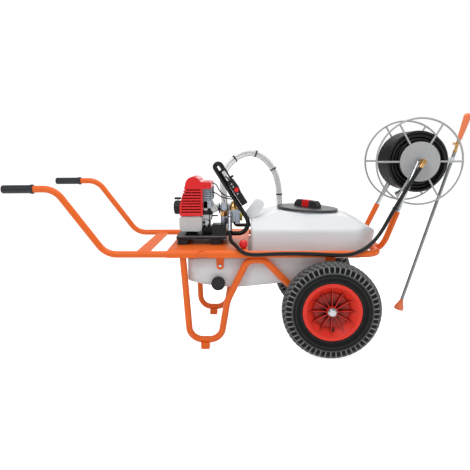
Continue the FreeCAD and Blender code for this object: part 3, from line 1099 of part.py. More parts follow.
slope = math.radians(s.handle_lean)
down_slope = V(math.cos(slope), 0, -math.sin(slope))
across_slope = V(math.sin(slope), 0, math.cos(slope))
heel = V(-s.handle_heel_reach, 0, s.handle_heel_height)
loop_near = heel - down_slope * s.handle_slope
loop_far = loop_near + across_slope * s.handle_loop
loop_end = loop_far + down_slope * 30
loop_bend = s.handle_loop / 2 - 0.1
foot_level = s.base_top + s.handle_tube_across / 2
node("control_tube", bent_tube("control_tube", "XZ_Plane", [
    (-s.handle_foot_reach, foot_level), (-s.handle_toe_reach, foot_level, 40),
    (heel.x, heel.z, 45), (loop_near.x, loop_near.z, loop_bend), (loop_far.x, loop_far.z, loop_bend),
    (loop_end.x, loop_end.z)], "handle_tube_across", "(handle_tube_across - handle_tube_bore) / 2",
    y="-handle_side"))

throttle_turn = (V(0, 1, 0), s.handle_lean)
grip_near_edge = s.handle_tube_across / 2 + s.fit


def on_handle(name, outline, thick, shift="0"):
    """A flat piece in the handle's plane: x runs down the slope from the loop, y away from the tube."""
    return plate(name, "XZ_Plane", outline, thick, x="%.4f" % loop_near.x, y="-handle_side + " + shift,
                 z="%.4f" % loop_near.z, turn=throttle_turn)


half_tube = s.handle_tube_across / 2
throttle_body = on_handle("throttle_body", [
    (30 + s.fit, grip_near_edge), (s.throttle_length, grip_near_edge + 3, 4), (s.throttle_length, 38, 3),
    (156, 38, 6), (128, 43, 20), (96, 41, 20), (70, 35, 20), (30 + s.fit, s.handle_loop + half_tube, 6)],
    "throttle_thick")
finger_gap = on_handle("finger_gap", [(40, 14, 4), (84, 14, 4), (84, 28, 4), (40, 31, 6)],
                       "throttle_thick + 2")
stop_spot = loop_near + down_slope * s.stop_down + across_slope * s.stop_out
stop_well = rod("stop_well", "stop_across + 2 * play", "2 * stop_height", x="%.4f" % stop_spot.x,
                y="-handle_side - throttle_thick / 2 + stop_height", z="%.4f" % stop_spot.z, along="-y")
lock_spot = loop_near + down_slope * s.lock_down + across_slope * s.lock_floor
lock_rest = lock_spot + across_slope * (s.lock_travel + s.play)
lock_well = rod("lock_well", "lock_across + 2 * play", "lock_top - lock_floor", x="%.4f" % lock_spot.x,
                y="-handle_side", z="%.4f" % lock_spot.z, turn=throttle_turn)
node("throttle_grip", cut("throttle_grip", throttle_body, finger_gap, stop_well, lock_well))
lock, lock_length = s.lock_across / 2, s.lock_top - s.lock_floor - s.lock_travel - s.play
node("throttle_lock", turned("throttle_lock", [
    (0, 0), (lock, 0), (lock, lock_length, 1.5), (0, lock_length)],
    x="%.4f" % lock_rest.x, y="-handle_side", z="%.4f" % lock_rest.z, turn=throttle_turn))
node("throttle_trigger", on_handle("throttle_trigger", [
    (76, 18.8, 2), (83.7, 18.8, 3.69), (83.7, 26.2, 3.69), (74, 26.2, 4), (62, 21.5, 2), (60, 17, 1.5)],
    "trigger_thick"))
node("stop_button", rod("stop_button", "stop_across", "2 * stop_height - play", x="%.4f" % stop_spot.x,
                        y="-handle_side - throttle_thick / 2 + stop_height - stop_travel - play",
                        z="%.4f" % stop_spot.z, along="-y"))

# Tap beside the tank's corner: its spindle block on the platform and a red knob

tap_block = rod("tap_block", "tap_across - 10", "tap_side / 8 - play", x="-tap_reach",
                y="-tap_side + tap_side / 8 - play", z="tap_height", along="-y")
tap_post = box("tap_post", "tap_post_width", "tap_side / 8 - play", "tap_height - (%s)" % PLATFORM_TOP,
               x="-tap_reach - tap_post_width / 2", y="-tap_side", z=PLATFORM_TOP)
node("tap_body", fuse("tap_body", tap_block, tap_post))
tap = s.tap_across / 2
node("tap_knob", turned("tap_knob", [
    (0, 0), (tap, 0, 2), (tap - 1, s.tap_length * 0.6, 4), (tap * 0.6, s.tap_length, 5), (0, s.tap_length)],
    x="-tap_reach", y="-tap_side - play", z="tap_height", along="-y"))

# Hoses and cables

ARCH = [(-190, 94, 578.2), (-190, 90, 640), (-205, 66, 724), (-246, 42, 792), (-310, 14, 832),
        (-374, -22, 820), (-424, -62, 778), (-448, -88, 724), (-444, -106, 674), (-439, -112, 640),
        (-439, -112, 614.8)]
DELIVERY = [(-414, -182.8, 499.9), (-413, -191.6, 484.6), (-409, -213, 468.5), (-400, -242, 461),
            (-386, -272, 457), (-368, -308, 443), (-342, -315, 428), (-300, -312, 424),
            (-214, -308, 429), (-100, -307.5, 428.5), (-12, -308.5, 424), (60, -309, 421),
            (116, -306, 437), (170, -276, 468), (218, -232, 514), (252, -205, 564), (286, -188, 616),
            (319, -176, 668), (350.6, -165, 716), (378.4, -164.3, 762.3)]
THROTTLE_CABLE = [(-492.3, -80, 699), (-477, -90, 696), (-468, -106, 683), (-458, -124, 666),
                  (-442, -137, 653.5), (-427, -147, 646.5), (-410.6, -154.5, 643.5)]
STOP_CABLE = [(-496.2, -70, 659), (-480, -82, 656), (-468, -102, 651), (-457, -123, 645),
              (-442, -137, 640.5), (-424, -147, 637), (-405, -154.5, 634.5)]


def beside(points, shift):
    """The same route moved sideways in its own plane, for a hose that lies against the first."""
    moved = []
    for i, point in enumerate(points):
        before, after = points[max(i - 1, 0)], points[min(i + 1, len(points) - 1)]
        run = V(after[0] - before[0], 0, after[2] - before[2]).normalize()
        moved.append((point[0] + run.z * shift, point[1], point[2] - run.x * shift))
    return moved


pair = s.tank_hose_across / 2 + 0.2
node("tank_hoses", feature("tank_hoses", Part.makeCompound([
    hose("suction hose", beside(ARCH, pair), s.tank_hose_across),
    hose("return hose", beside(ARCH, -pair), s.tank_hose_across)])))
node("delivery_hose", feature("delivery_hose", hose("delivery hose", DELIVERY, s.hose_across)))
node("control_cables", feature("control_cables", Part.makeCompound([
    hose("throttle cable", THROTTLE_CABLE, s.cable_across), hose("stop cable", STOP_CABLE, s.cable_across)])))


def tie(route, leg, hose_radius, spread=0):
    """A cable tie at the middle of one leg of a route: an oval band round one hose or two side by side."""
    point = [(a + b) / 2 for a, b in zip(route[leg - 1], route[leg])]
    along = (V(*route[leg]) - V(*route[leg - 1])).normalize()
    band = []
    for inner in (hose_radius + s.play + s.tie_thick, hose_radius + s.play):
        reach = spread + inner
        band.append([(-reach, -inner, inner - 0.01), (reach, -inner, inner - 0.01), (reach, inner, inner - 0.01),
                     (-reach, inner, inner - 0.01)])
    faces = [Part.Face(Part.Wire([edge.toShape() for edge in rounded(loop)])) for loop in band]
    solid = faces[0].cut(faces[1]).extrude(V(0, 0, s.tie_width))
    solid.translate(V(0, 0, -s.tie_width / 2))
    sideways = V(along.z, 0, -along.x).normalize()
    up = along.cross(sideways)
    solid.Placement = FreeCAD.Placement(V(*point), FreeCAD.Rotation(sideways, up, along, "ZXY"))
    return solid


ties = [tie(ARCH, leg, s.tank_hose_across / 2, pair) for leg in (2, 4, 6, 8)]
ties += [tie(DELIVERY, leg, s.hose_across / 2) for leg in (15, 17)]
node("hose_ties", feature("hose_ties", Part.makeCompound(ties)))

doc.recompute()

# Test every object and sub-part, then write the sub-parts

faults = [thing.Name for thing in doc.Objects if "Invalid" in thing.State or "Error" in thing.State]
for thing in nodes:
    if thing.Shape.isNull() or not thing.Shape.isValid() or not thing.Shape.Solids:
        faults.append(thing.Label)
if faults:
    raise RuntimeError("failed: " + ", ".join(faults))
for thing in nodes:
    thing.Shape.exportStep("parts/%s.step" % thing.Label)
whole = Part.makeCompound([thing.Shape for thing in nodes]).BoundBox
print("%d sub-parts, x %.1f to %.1f, y %.1f to %.1f, z %.1f to %.1f"
      % (len(nodes), whole.XMin, whole.XMax, whole.YMin, whole.YMax, whole.ZMin, whole.ZMax))
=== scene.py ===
import math

import bpy
import numpy as np
from mathutils import Matrix, Vector


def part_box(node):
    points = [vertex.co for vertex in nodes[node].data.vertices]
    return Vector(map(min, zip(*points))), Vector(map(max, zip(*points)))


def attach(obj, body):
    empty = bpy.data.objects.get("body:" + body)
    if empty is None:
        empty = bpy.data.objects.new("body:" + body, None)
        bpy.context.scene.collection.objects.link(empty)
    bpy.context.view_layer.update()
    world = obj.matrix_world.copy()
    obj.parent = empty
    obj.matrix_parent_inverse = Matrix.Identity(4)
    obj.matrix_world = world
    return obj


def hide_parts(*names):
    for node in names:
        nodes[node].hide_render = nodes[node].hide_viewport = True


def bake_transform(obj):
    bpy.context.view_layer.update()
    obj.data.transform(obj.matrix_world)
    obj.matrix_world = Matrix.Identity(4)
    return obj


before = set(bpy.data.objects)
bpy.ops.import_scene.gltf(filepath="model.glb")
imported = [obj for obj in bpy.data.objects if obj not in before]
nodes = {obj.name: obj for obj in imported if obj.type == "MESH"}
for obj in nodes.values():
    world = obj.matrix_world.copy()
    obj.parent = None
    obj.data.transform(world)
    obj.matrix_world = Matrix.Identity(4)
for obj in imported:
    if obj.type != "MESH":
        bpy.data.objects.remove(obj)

# The wheelbarrow sprayer is built in metres, in the frame's own axes: +X towards the reel,
# +Y to the side of the lance, +Z up, with the ground at zero.
MM = 0.001
TURN = 2 * math.pi
AXLE_X = 313 * MM
WHITE = (1, 1, 1, 1)
scene = bpy.context.scene
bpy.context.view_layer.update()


def from_axle(points):
    """Points in millimetres, with X counted from the wheel axle, as metres in the frame."""
    return np.array(points, float) * MM + (AXLE_X, 0, 0)


def unit(vectors):
    """Each vector divided by its length."""
    return np.array(vectors, float) / np.linalg.norm(vectors, axis=-1, keepdims=True)


def placed(name, data):
    """An object in the scene with its data: a camera, a lamp or a mesh."""
    made = bpy.data.objects.new(name, data)
    scene.collection.objects.link(made)
    return made


# Camera and light

CAMERA_SPOT = (-1.5 * MM, -2276.6 * MM, 838.5 * MM)
CAMERA_PITCH, CAMERA_YAW, CAMERA_ROLL = 0.1674, 0.0369, -0.0092
CAMERA_LENS, CAMERA_SENSOR = 38.26, 36

camera = placed("camera", bpy.data.cameras.new("camera"))
camera.data.lens = CAMERA_LENS
camera.data.sensor_width = CAMERA_SENSOR
aim = (Matrix.Rotation(CAMERA_YAW, 4, "Z") @ Matrix.Rotation(TURN / 4 - CAMERA_PITCH, 4, "X")
       @ Matrix.Rotation(CAMERA_ROLL, 4, "Z"))
camera.matrix_world = Matrix.Translation(CAMERA_SPOT) @ aim
scene.camera = camera
scene.view_settings.view_transform = "Standard"

LAMP_AIM = (0, 0, 0.4)


def lamp(name, spot, size, power):
    """A square soft lamp that looks at the middle of the barrow."""
    light = bpy.data.lights.new(name, "AREA")
    light.size = size
    light.energy = power
    holder = placed(name, light)
    holder.rotation_euler = (Vector(LAMP_AIM) - Vector(spot)).to_track_quat("-Z", "Y").to_euler()
    holder.location = spot


lamp("key_lamp", (-1.6, -3.0, 3.2), 1.6, 58)
lamp("fill_lamp", (3.0, -2.6, 1.6), 2.0, 20)
lamp("top_lamp", (0.2, 0.2, 3.2), 1.8, 38)
lamp("back_lamp", (0.6, 3.2, 2.2), 2.2, 24)


def linear(colour):
    """An sRGB hex colour as linear red, green, blue and alpha."""
    channels = [int(colour[i:i + 2], 16) / 255 for i in (1, 3, 5)]
    return tuple(c / 12.92 if c <= 0.04045 else ((c + 0.055) / 1.055) ** 2.4 for c in channels) + (1.0,)


def add(tree, kind, inputs=(), **settings):
    """Adds one node with its settings; each input takes a value or another node's output."""
    made = tree.nodes.new(kind)
    for name, value in settings.items():
        setattr(made, name, value)
    for socket, value in dict(inputs).items():
        if isinstance(value, bpy.types.NodeSocket):
            tree.links.new(value, made.inputs[socket])
        else:
            made.inputs[socket].default_value = value
    return made


def per_metre(size):
    """A pattern's scale from the real size of one of its marks, in millimetres."""
    return 1 / (size * MM)


def blank(name, colour, roughness, metallic=0.0, ior=1.5, **surface):
    """A material of one principled surface; returns it with its tree and that surface."""
    made = bpy.data.materials.new(name)
    made.use_nodes = True
    shader = made.node_tree.nodes["Principled BSDF"]
    shader.inputs["Base Color"].default_value = linear(colour)
    shader.inputs["Roughness"].default_value = roughness
    shader.inputs["Metallic"].default_value = metallic
    shader.inputs["IOR"].default_value = ior
    for socket, value in surface.items():
        shader.inputs[socket.replace("_", " ")].default_value = value
    return made, made.node_tree, shader


def clouded(tree, shader, size, dark, light, detail=4.0):
    """Lets the colour drift between two tones in soft clouds of one size; returns the mixed tone."""
    place = add(tree, "ShaderNodeTexCoord").outputs["Object"]
    cloud = add(tree, "ShaderNodeTexNoise", {"Vector": place, "Scale": per_metre(size), "Detail": detail})
    tone = add(tree, "ShaderNodeMix", {0: cloud.outputs["Fac"], 6: linear(dark), 7: linear(light)},
               data_type="RGBA")
    tree.links.new(tone.outputs[2], shader.inputs["Base Color"])
    return tone


def grained(tree, shader, size, depth, detail=2.0):
    """Gives the surface a fine bump of one grain size and depth, both in millimetres."""
    place = add(tree, "ShaderNodeTexCoord").outputs["Object"]
    grain = add(tree, "ShaderNodeTexNoise", {"Vector": place, "Scale": per_metre(size), "Detail": detail})
    bump = add(tree, "ShaderNodeBump", {"Height": grain.outputs["Fac"], "Distance": depth * MM,
                                        "Strength": 0.6})
    tree.links.new(bump.outputs["Normal"], shader.inputs["Normal"])


def worn(tree, shader, size, smooth, rough):
    """Lets the gloss drift between two roughnesses, as handling leaves it."""
    place = add(tree, "ShaderNodeTexCoord").outputs["Object"]
    patch = add(tree, "ShaderNodeTexNoise", {"Vector": place, "Scale": per_metre(size), "Detail": 5.0})
    level = add(tree, "ShaderNodeMapRange", {"Value": patch.outputs["Fac"], "From Min": 0.3, "From Max": 0.7,
                                             "To Min": smooth, "To Max": rough})
    tree.links.new(level.outputs["Result"], shader.inputs["Roughness"])


def patterned(name, colour, roughness, clouds, grain, wear=None, **surface):
    """A material with clouds of two tones, a grain and, where it is handled, wear: each is what follows
    the surface in clouded, grained or worn."""
    made, tree, shader = blank(name, colour, roughness, **surface)
    clouded(tree, shader, *clouds)
    grained(tree, shader, *grain)
    if wear:
        worn(tree, shader, *wear)
    return made


def powder_coat():
    """Orange polyester powder baked on steel tube: even colour, low gloss, faint orange peel."""
    return patterned("powder_coated_steel", "#F06A20", 0.36, clouds=(220, "#EC651C", "#F47126"),
                     grain=(1.6, 0.05), wear=(60, 0.34, 0.48), Specular_IOR_Level=0.3)


def grip_rubber():
    """Blue-black PVC dipped over the handle ends: satin, slightly uneven."""
    return patterned("dipped_pvc", "#1D2028", 0.5, clouds=(40, "#181B22", "#252932"), grain=(1.2, 0.12),
                     Specular_IOR_Level=0.35)


def zinc_plate():
    """Bright zinc on turned steel: silver with a fine grain that blurs the lamps."""
    return patterned("zinc_plated_steel", "#AEB0B3", 0.3, clouds=(12, "#989A9E", "#BEC0C2"),
                     grain=(0.9, 0.012), wear=(18, 0.2, 0.38), metallic=1.0)


def galvanised():
    """Hot-dip zinc on tube: pale grey spangles a few millimetres across, each with its own gloss."""
    made, tree, shader = blank("galvanised_steel", "#B4B7B9", 0.35, metallic=1.0)
    place = add(tree, "ShaderNodeTexCoord").outputs["Object"]
    spangle = add(tree, "ShaderNodeTexVoronoi", {"Vector": place, "Scale": per_metre(7)})
    shade = add(tree, "ShaderNodeSeparateColor", {"Color": spangle.outputs["Color"]})
    tone = add(tree, "ShaderNodeMix", {0: shade.outputs["Red"], 6: linear("#A6A9AB"), 7: linear("#C4C7C9")},
               data_type="RGBA")
    gloss = add(tree, "ShaderNodeMapRange", {"Value": shade.outputs["Green"], "To Min": 0.26, "To Max": 0.44})
    tree.links.new(tone.outputs[2], shader.inputs["Base Color"])
    tree.links.new(gloss.outputs["Result"], shader.inputs["Roughness"])
    return made


def reel_enamel():
    """Grey enamel sprayed on rod and sheet: flat mid grey with a soft sheen."""
    return patterned("sprayed_enamel", "#B0B1B2", 0.42, clouds=(90, "#AAABAC", "#B6B7B8"),
                     grain=(1.4, 0.04))


def tyre_rubber():
    """Carbon-black rubber from a mould: matt charcoal, greyer where dust sits and with a painted highlight on
    its rib edges.
    """
    made, tree, shader = blank("moulded_tyre_rubber", "#0A0B0C", 0.6, Specular_IOR_Level=0.14)
    tone = clouded(tree, shader, 14, "#060708", "#0E0F10", detail=6.0)
    # Partly dust, partly a painted highlight: the tread's attribute greys the black towards #8E9090
    dust_and_highlight = add(tree, "ShaderNodeAttribute", attribute_name="dust_and_highlight")
    dust_and_highlight_tone = add(tree, "ShaderNodeMix", {0: dust_and_highlight.outputs["Fac"], 6: tone.outputs[2], 7: linear("#8E9090")},
               data_type="RGBA")
    tree.links.new(dust_and_highlight_tone.outputs[2], shader.inputs["Base Color"])
    grained(tree, shader, 1.0, 0.15)
    worn(tree, shader, 25, 0.45, 0.65)
    return made


def red_polypropylene():
    """Glass-filled polypropylene from a mould: strong red, satin, with painted shade darkening its corners
    and recesses.
    """
    made, tree, shader = blank("moulded_polypropylene", "#DE2A1B", 0.4, Specular_IOR_Level=0.35)
    tone = clouded(tree, shader, 50, "#E02617", "#F03A26")
    # Painted shade: an ambient occlusion mask darkens the red towards #6E120C in corners and recesses
    corner = add(tree, "ShaderNodeAmbientOcclusion", {"Distance": 30 * MM}, samples=8)
    open_part = add(tree, "ShaderNodeMapRange", {"Value": corner.outputs["AO"], "From Min": 0.35,
                                                 "From Max": 0.9})
    painted_shade = add(tree, "ShaderNodeMix", {0: open_part.outputs["Result"], 6: linear("#6E120C"),
                                       7: tone.outputs[2]}, data_type="RGBA")
    tree.links.new(painted_shade.outputs[2], shader.inputs["Base Color"])
    grained(tree, shader, 2.2, 0.05)
    return made


def tank_polyethylene():
    """Natural polyethylene cast in a turning mould: milky white, waxy, with a dimpled skin."""
    return patterned("rotomoulded_polyethylene", "#E2E4E8", 0.42,
                     clouds=(160, "#DEE1E5", "#E9EBEE", 2.0), grain=(5.0, 0.12, 3.0),
                     wear=(70, 0.3, 0.44), ior=1.51, Subsurface_Weight=0.3, Subsurface_Scale=0.02,
                     Subsurface_Radius=(1, 1, 1), Specular_IOR_Level=0.35)


def black_polypropylene():
    """Black polypropylene from a mould: charcoal with a fine matt texture."""
    return patterned("black_polypropylene", "#2A2A2D", 0.45, clouds=(30, "#242427", "#303034"),
                     grain=(0.9, 0.08))


def seal_rubber():
    """Black nitrile rubber, cut or moulded: dull and soft edged."""
    return patterned("moulded_nitrile", "#18181A", 0.7, clouds=(20, "#141416", "#1E1E20"),
                     grain=(1.1, 0.1))


def stoved_enamel():
    """Black enamel stoved on folded steel and bent tube: deep blue-black with clear highlights."""
    return patterned("stoved_black_enamel", "#0A0B0E", 0.26, clouds=(60, "#07080A", "#0E1013"),
                     grain=(2.0, 0.03), wear=(40, 0.2, 0.34), Specular_IOR_Level=0.25)


def cast_aluminium():
    """Aluminium cast in a die and shot-blasted: pale grey, grainy, softly bright."""
    return patterned("die_cast_aluminium", "#B9BBBD", 0.42, clouds=(9, "#A2A4A7", "#C6C8CA", 6.0),
                     grain=(0.8, 0.12), wear=(15, 0.34, 0.54), metallic=1.0)


def gloss_abs():
    """ABS from a polished mould: full red with hard bright highlights."""
    return patterned("gloss_red_abs", "#E81A1E", 0.24, clouds=(80, "#E2161A", "#EE2024"),
                     grain=(3.0, 0.02), ior=1.54, Specular_IOR_Level=0.35)


def shaded_abs():
    """Red ABS inside a housing, coloured dark red as a painted shade: dull."""
    return patterned("painted_shade_red_abs", "#7A1012", 0.6, clouds=(25, "#650C0E", "#8E1517"),
                     grain=(1.5, 0.05), ior=1.54, Specular_IOR_Level=0.2)


def painted_highlight_enamel():
    """Black enamel on a sheet's edge, blue-grey as a painted highlight along it."""
    return patterned("painted_highlight_enamel_edge", "#5E636C", 0.4, clouds=(14, "#3C4048", "#7C828C", 6.0),
                     grain=(1.0, 0.04), metallic=0.6)


def black_nylon():
    """Glass-filled nylon from a mould: black, satin, faintly speckled."""
    return patterned("moulded_black_nylon", "#0E0E10", 0.4, clouds=(6, "#0B0B0D", "#141416", 5.0),
                     grain=(0.7, 0.06), Specular_IOR_Level=0.28)


def fuel_polyethylene():
    """Natural polyethylene blown in a mould: grey-white, cloudy, with a dull shine."""
    return patterned("blow_moulded_polyethylene", "#C9D0CC", 0.33,
                     clouds=(45, "#CBD0D0", "#DEE2E2", 3.0), grain=(3.0, 0.08), ior=1.51,
                     Subsurface_Weight=0.3, Subsurface_Scale=0.008, Subsurface_Radius=(1, 1, 1))


def forged_brass():
    """Brass forged and turned: warm yellow, mottled, glossier where it is rubbed."""
    return patterned("turned_brass", "#BB925C", 0.3, clouds=(8, "#A47A47", "#CDA872", 5.0),
                     grain=(0.6, 0.06), wear=(10, 0.18, 0.36), metallic=1.0)


def crimped_steel():
    """Nickel-plated steel crimped on a hose: grey-silver with a soft shine."""
    return patterned("plated_ferrule_steel", "#A9ABB2", 0.3, clouds=(6, "#9A9CA3", "#B9BBC1"),
                     grain=(0.8, 0.04), metallic=1.0)


def drawn_steel():
    """Steel tube drawn through a die and oiled: dull mid grey, softly mottled."""
    return patterned("drawn_steel_tube", "#85888B", 0.4, clouds=(16, "#74777A", "#95989B"),
                     grain=(0.9, 0.03), wear=(30, 0.34, 0.5), metallic=1.0)


def bare_casting():
    """Aluminium cast in a die and left as it is: bluish grey, with a soft grain and dull patches."""
    return patterned("bare_die_casting", "#9AA3AE", 0.44, clouds=(7, "#808A96", "#B2BAC4", 6.0),
                     grain=(0.9, 0.12), wear=(12, 0.36, 0.54), metallic=1.0)


def yellow_abs():
    """Yellow ABS from a mould: clean and half glossy."""
    return patterned("moulded_yellow_abs", "#E4D92A", 0.3, clouds=(20, "#DDD224", "#EBE034"),
                     grain=(1.5, 0.04), ior=1.54)


def clear_pvc():
    """Soft PVC drawn over a crossed white thread: whitish, with a faint net drawn as coarse as it shows."""
    made, tree, shader = blank("braided_clear_pvc", "#E3E5E7", 0.45, ior=1.53,
                               Subsurface_Weight=0.2, Subsurface_Scale=0.004,
                               Subsurface_Radius=(1, 1, 1), Specular_IOR_Level=0.3)
    place = add(tree, "ShaderNodeUVMap", uv_map="hose").outputs["UV"]
    crossed = []
    for lean in (TURN / 8, -TURN / 8):
        turned = add(tree, "ShaderNodeMapping", {"Vector": place, "Rotation": (0, 0, lean)})
        wave = add(tree, "ShaderNodeTexWave", {"Vector": turned.outputs["Vector"],
                                               "Scale": per_metre(13) / TURN, "Distortion": 0.0},
                   wave_profile="SIN")
        crossed.append(wave.outputs["Fac"])
    net = add(tree, "ShaderNodeMath", dict(enumerate(crossed)), operation="MAXIMUM")
    thread = add(tree, "ShaderNodeMapRange", {"Value": net.outputs["Value"], "From Min": 0.6,
                                              "From Max": 1.0})
    tone = add(tree, "ShaderNodeMix", {0: thread.outputs["Result"], 6: linear("#E2E3E4"),
                                       7: linear("#E9EAEB")}, data_type="RGBA")
    tree.links.new(tone.outputs[2], shader.inputs["Base Color"])
    return made


def hose_rubber():
    """Smooth PVC-nitrile hose cover: black with a long soft highlight."""
    return patterned("extruded_hose_rubber", "#0C0D0E", 0.34, clouds=(30, "#090A0B", "#101112"),
                     grain=(1.2, 0.04), wear=(20, 0.3, 0.44), Specular_IOR_Level=0.25)


def starter_cord():
    """Braided polyester cord: off-white strands a millimetre wide."""
    made, tree, shader = blank("braided_polyester", "#D9D6CC", 0.7)
    place = add(tree, "ShaderNodeTexCoord").outputs["Object"]
    strand = add(tree, "ShaderNodeTexWave", {"Vector": place, "Scale": per_metre(1.2) / TURN,
                                             "Distortion": 1.5}, bands_direction="DIAGONAL")
    bump = add(tree, "ShaderNodeBump", {"Height": strand.outputs["Fac"], "Distance": 0.2 * MM})
    tree.links.new(bump.outputs["Normal"], shader.inputs["Normal"])
    return made


def orange_polypropylene():
    """Orange polypropylene from a mould: light orange, satin."""
    return patterned("orange_polypropylene", "#FB8350", 0.4, clouds=(35, "#F97B46", "#FD8D5C"),
                     grain=(1.2, 0.06))


# The nodes that wear each finish; the painted shade red and the painted highlight edge are only for pieces
# made below
FINISHES = {
    powder_coat: ("rail_near", "rail_far", "front_cross_tube", "handle_brace", "engine_platform", "leg_near",
                  "leg_far", "axle_carrier", "tank_straps", "reel_yoke"),
    grip_rubber: ("handle_grips",),
    zinc_plate: ("axle", "frame_fasteners", "bearings_near", "bearings_far"),
    drawn_steel: ("lance_tube",),
    galvanised: ("reel_arms",),
    reel_enamel: ("reel",),
    tyre_rubber: ("tyre_near", "tyre_far"),
    red_polypropylene: ("wheel_centre_near", "wheel_centre_far"),
    tank_polyethylene: ("tank", "strainer_bowl"),
    black_polypropylene: ("tank_lid", "lid_handle", "drain_outlet", "suction_pipe"),
    seal_rubber: ("lid_seal", "rubber_mounts"),
    stoved_enamel: ("engine_base", "control_tube"),
    cast_aluminium: ("crankcase", "pump_body"),
    bare_casting: ("cylinder", "pump_head"),
    gloss_abs: ("engine_shroud", "tap_knob", "stop_button"),
    black_nylon: ("recoil_case", "starter_grip", "fuel_cap", "throttle_grip", "throttle_trigger",
                  "throttle_lock", "tap_body", "hose_ties", "drain_cap"),
    shaded_abs: (),
    painted_highlight_enamel: (),
    fuel_polyethylene: ("fuel_tank",),
    forged_brass: ("swivel_fitting", "lance_valve"),
    crimped_steel: ("outlet_fitting",),
    yellow_abs: ("regulator_knob",),
    clear_pvc: ("tank_hoses",),
    hose_rubber: ("delivery_hose", "hose_pack", "control_cables"),
    starter_cord: ("starter_rope",),
    orange_polypropylene: ("lance_grip", "lance_nozzle"),
}
finish_of = {}
for make, names in FINISHES.items():
    finish_of[make] = make()
    for name in names:
        nodes[name].data.materials.clear()
        nodes[name].data.materials.append(finish_of[make])


# The world's strength, the share of white that metal sees in it, and the glow that lifts the floor to white
WORLD_LIGHT, SHINY_SHARE, FLOOR_LIFT = 0.38, 0.22, 0.8


def seen_white(tree, shiny_share):
    """One where the camera or glass looks, a share of one where metal does, and nothing elsewhere."""
    path = add(tree, "ShaderNodeLightPath").outputs
    clear = add(tree, "ShaderNodeMath", {0: path["Is Camera Ray"], 1: path["Is Transmission Ray"]},
                operation="MAXIMUM")
    shiny = add(tree, "ShaderNodeMath", {0: path["Is Glossy Ray"], 1: shiny_share}, operation="MULTIPLY")
    return add(tree, "ShaderNodeMath", {0: clear.outputs["Value"], 1: shiny.outputs["Value"]},
               operation="MAXIMUM").outputs["Value"]


def floor_paint():
    """Plain white floor: the camera, metal and glass see it white, and it keeps a soft shadow."""
    made, tree, shader = blank("pale_floor_paint", "#F2F2F2", 0.8, Specular_IOR_Level=0.1)
    lift = add(tree, "ShaderNodeMath", {0: seen_white(tree, 1.0), 1: FLOOR_LIFT}, operation="MULTIPLY")
    glow = add(tree, "ShaderNodeEmission", {"Color": WHITE, "Strength": lift.outputs["Value"]})
    both = add(tree, "ShaderNodeAddShader", {0: shader.outputs["BSDF"], 1: glow.outputs["Emission"]})
    tree.links.new(both.outputs["Shader"], tree.nodes["Material Output"].inputs["Surface"])
    return made


def pale_world():
    """An even soft light from all round, white where the camera, metal or glass sees it."""
    world = bpy.data.worlds.new("pale_world")
    world.use_nodes = True
    tree = world.node_tree
    tree.nodes.clear()
    light = add(tree, "ShaderNodeBackground", {"Color": WHITE, "Strength": WORLD_LIGHT})
    white = add(tree, "ShaderNodeBackground", {"Color": WHITE, "Strength": 1.0})
    both = add(tree, "ShaderNodeMixShader", {0: seen_white(tree, SHINY_SHARE), 1: light.outputs[0],
                                             2: white.outputs[0]})
    add(tree, "ShaderNodeOutputWorld", {"Surface": both.outputs[0]})
    scene.world = world


pale_world()

# Surfaces: every new shape is a grid of points worked out from two parameters


def grid_faces(rows, columns, closed=False):
    """Faces of a grid of rows by columns, joined round each row and, if closed, from last row to first."""
    i, j = np.meshgrid(np.arange(rows if closed else rows - 1), np.arange(columns), indexing="ij")
    i, j = i.ravel(), j.ravel()
    below, beside = (i + 1) % rows, (j + 1) % columns
    return np.stack([i * columns + j, i * columns + beside, below * columns + beside, below * columns + j], 1)


def joined(name, points, faces):
    """A mesh in which points that lie on each other, at poles and seams, are one: its faces are quads
    and, where a side has shrunk to nothing, triangles. Also gives the kept points' mask."""
    first, back = np.unique(np.round(points, 7), axis=0, return_index=True, return_inverse=True)[1:]
    faces = first[back.ravel()][faces]
    kept = np.zeros(len(points), bool)
    kept[faces.ravel()] = True
    faces = (np.cumsum(kept) - 1)[faces]
    start, end = faces[:, 0] != faces[:, 1], faces[:, 2] != faces[:, 3]
    mesh = bpy.data.meshes.new(name)
    mesh.from_pydata(points[kept].tolist(), [], faces[start & end].tolist()
                     + faces[~start & end][:, (0, 2, 3)].tolist() + faces[start & ~end][:, :3].tolist())
    return mesh, kept


def outward(points, quads):
    """A closed grid's faces, turned round where its volume comes out negative."""
    a, b, c, d = (points[quads[:, k]] for k in range(4))
    volume = np.sum(a * np.cross(b, c)) + np.sum(a * np.cross(c, d))
    return quads[:, ::-1] if volume < 0 else quads


def skin(name, grids, make, body="frame", sharp=40, uv=None):
    """Makes one piece from closed grids, each (points, faces): its faces point outwards, it is smooth but
    for edges sharper than sharp degrees, and it rides on a body, unless that is None."""
    points, faces, start = [], [], 0
    for grid, quads in grids:
        flat = np.asarray(grid, float).reshape(-1, 3)
        points.append(flat)
        faces.append(outward(flat, quads) + start)
        start += len(flat)
    mesh, kept = joined(name, np.concatenate(points), np.concatenate(faces))
    if uv is not None:
        corner_of = np.empty(len(mesh.loops), int)
        mesh.loops.foreach_get("vertex_index", corner_of)
        mesh.uv_layers.new(name="hose").data.foreach_set("uv", uv[kept][corner_of].ravel())
    mesh.shade_smooth()
    mesh.set_sharp_from_angle(angle=math.radians(sharp))
    mesh.materials.append(finish_of[make])
    shown = placed(name, mesh)
    if body:
        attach(shown, body)
    return shown


def lathe(profile, centre, axis, steps=48, closed=False):
    """A profile of (radius, distance along) in millimetres, spun about an axis through a centre; its
    ends close on the axis, or on each other where the profile is closed."""
    along = unit(axis)
    side = unit(np.cross(along, (0, 0, 1) if abs(along[2]) < 0.9 else (1, 0, 0)))
    other = np.cross(along, side)
    turn = np.linspace(0, TURN, steps, endpoint=False)
    ring = np.cos(turn)[:, None] * side + np.sin(turn)[:, None] * other
    radius, level = (np.array(profile, float) * MM).T[..., None, None]
    return np.array(centre) + radius * ring + level * along, grid_faces(len(profile), steps, closed)


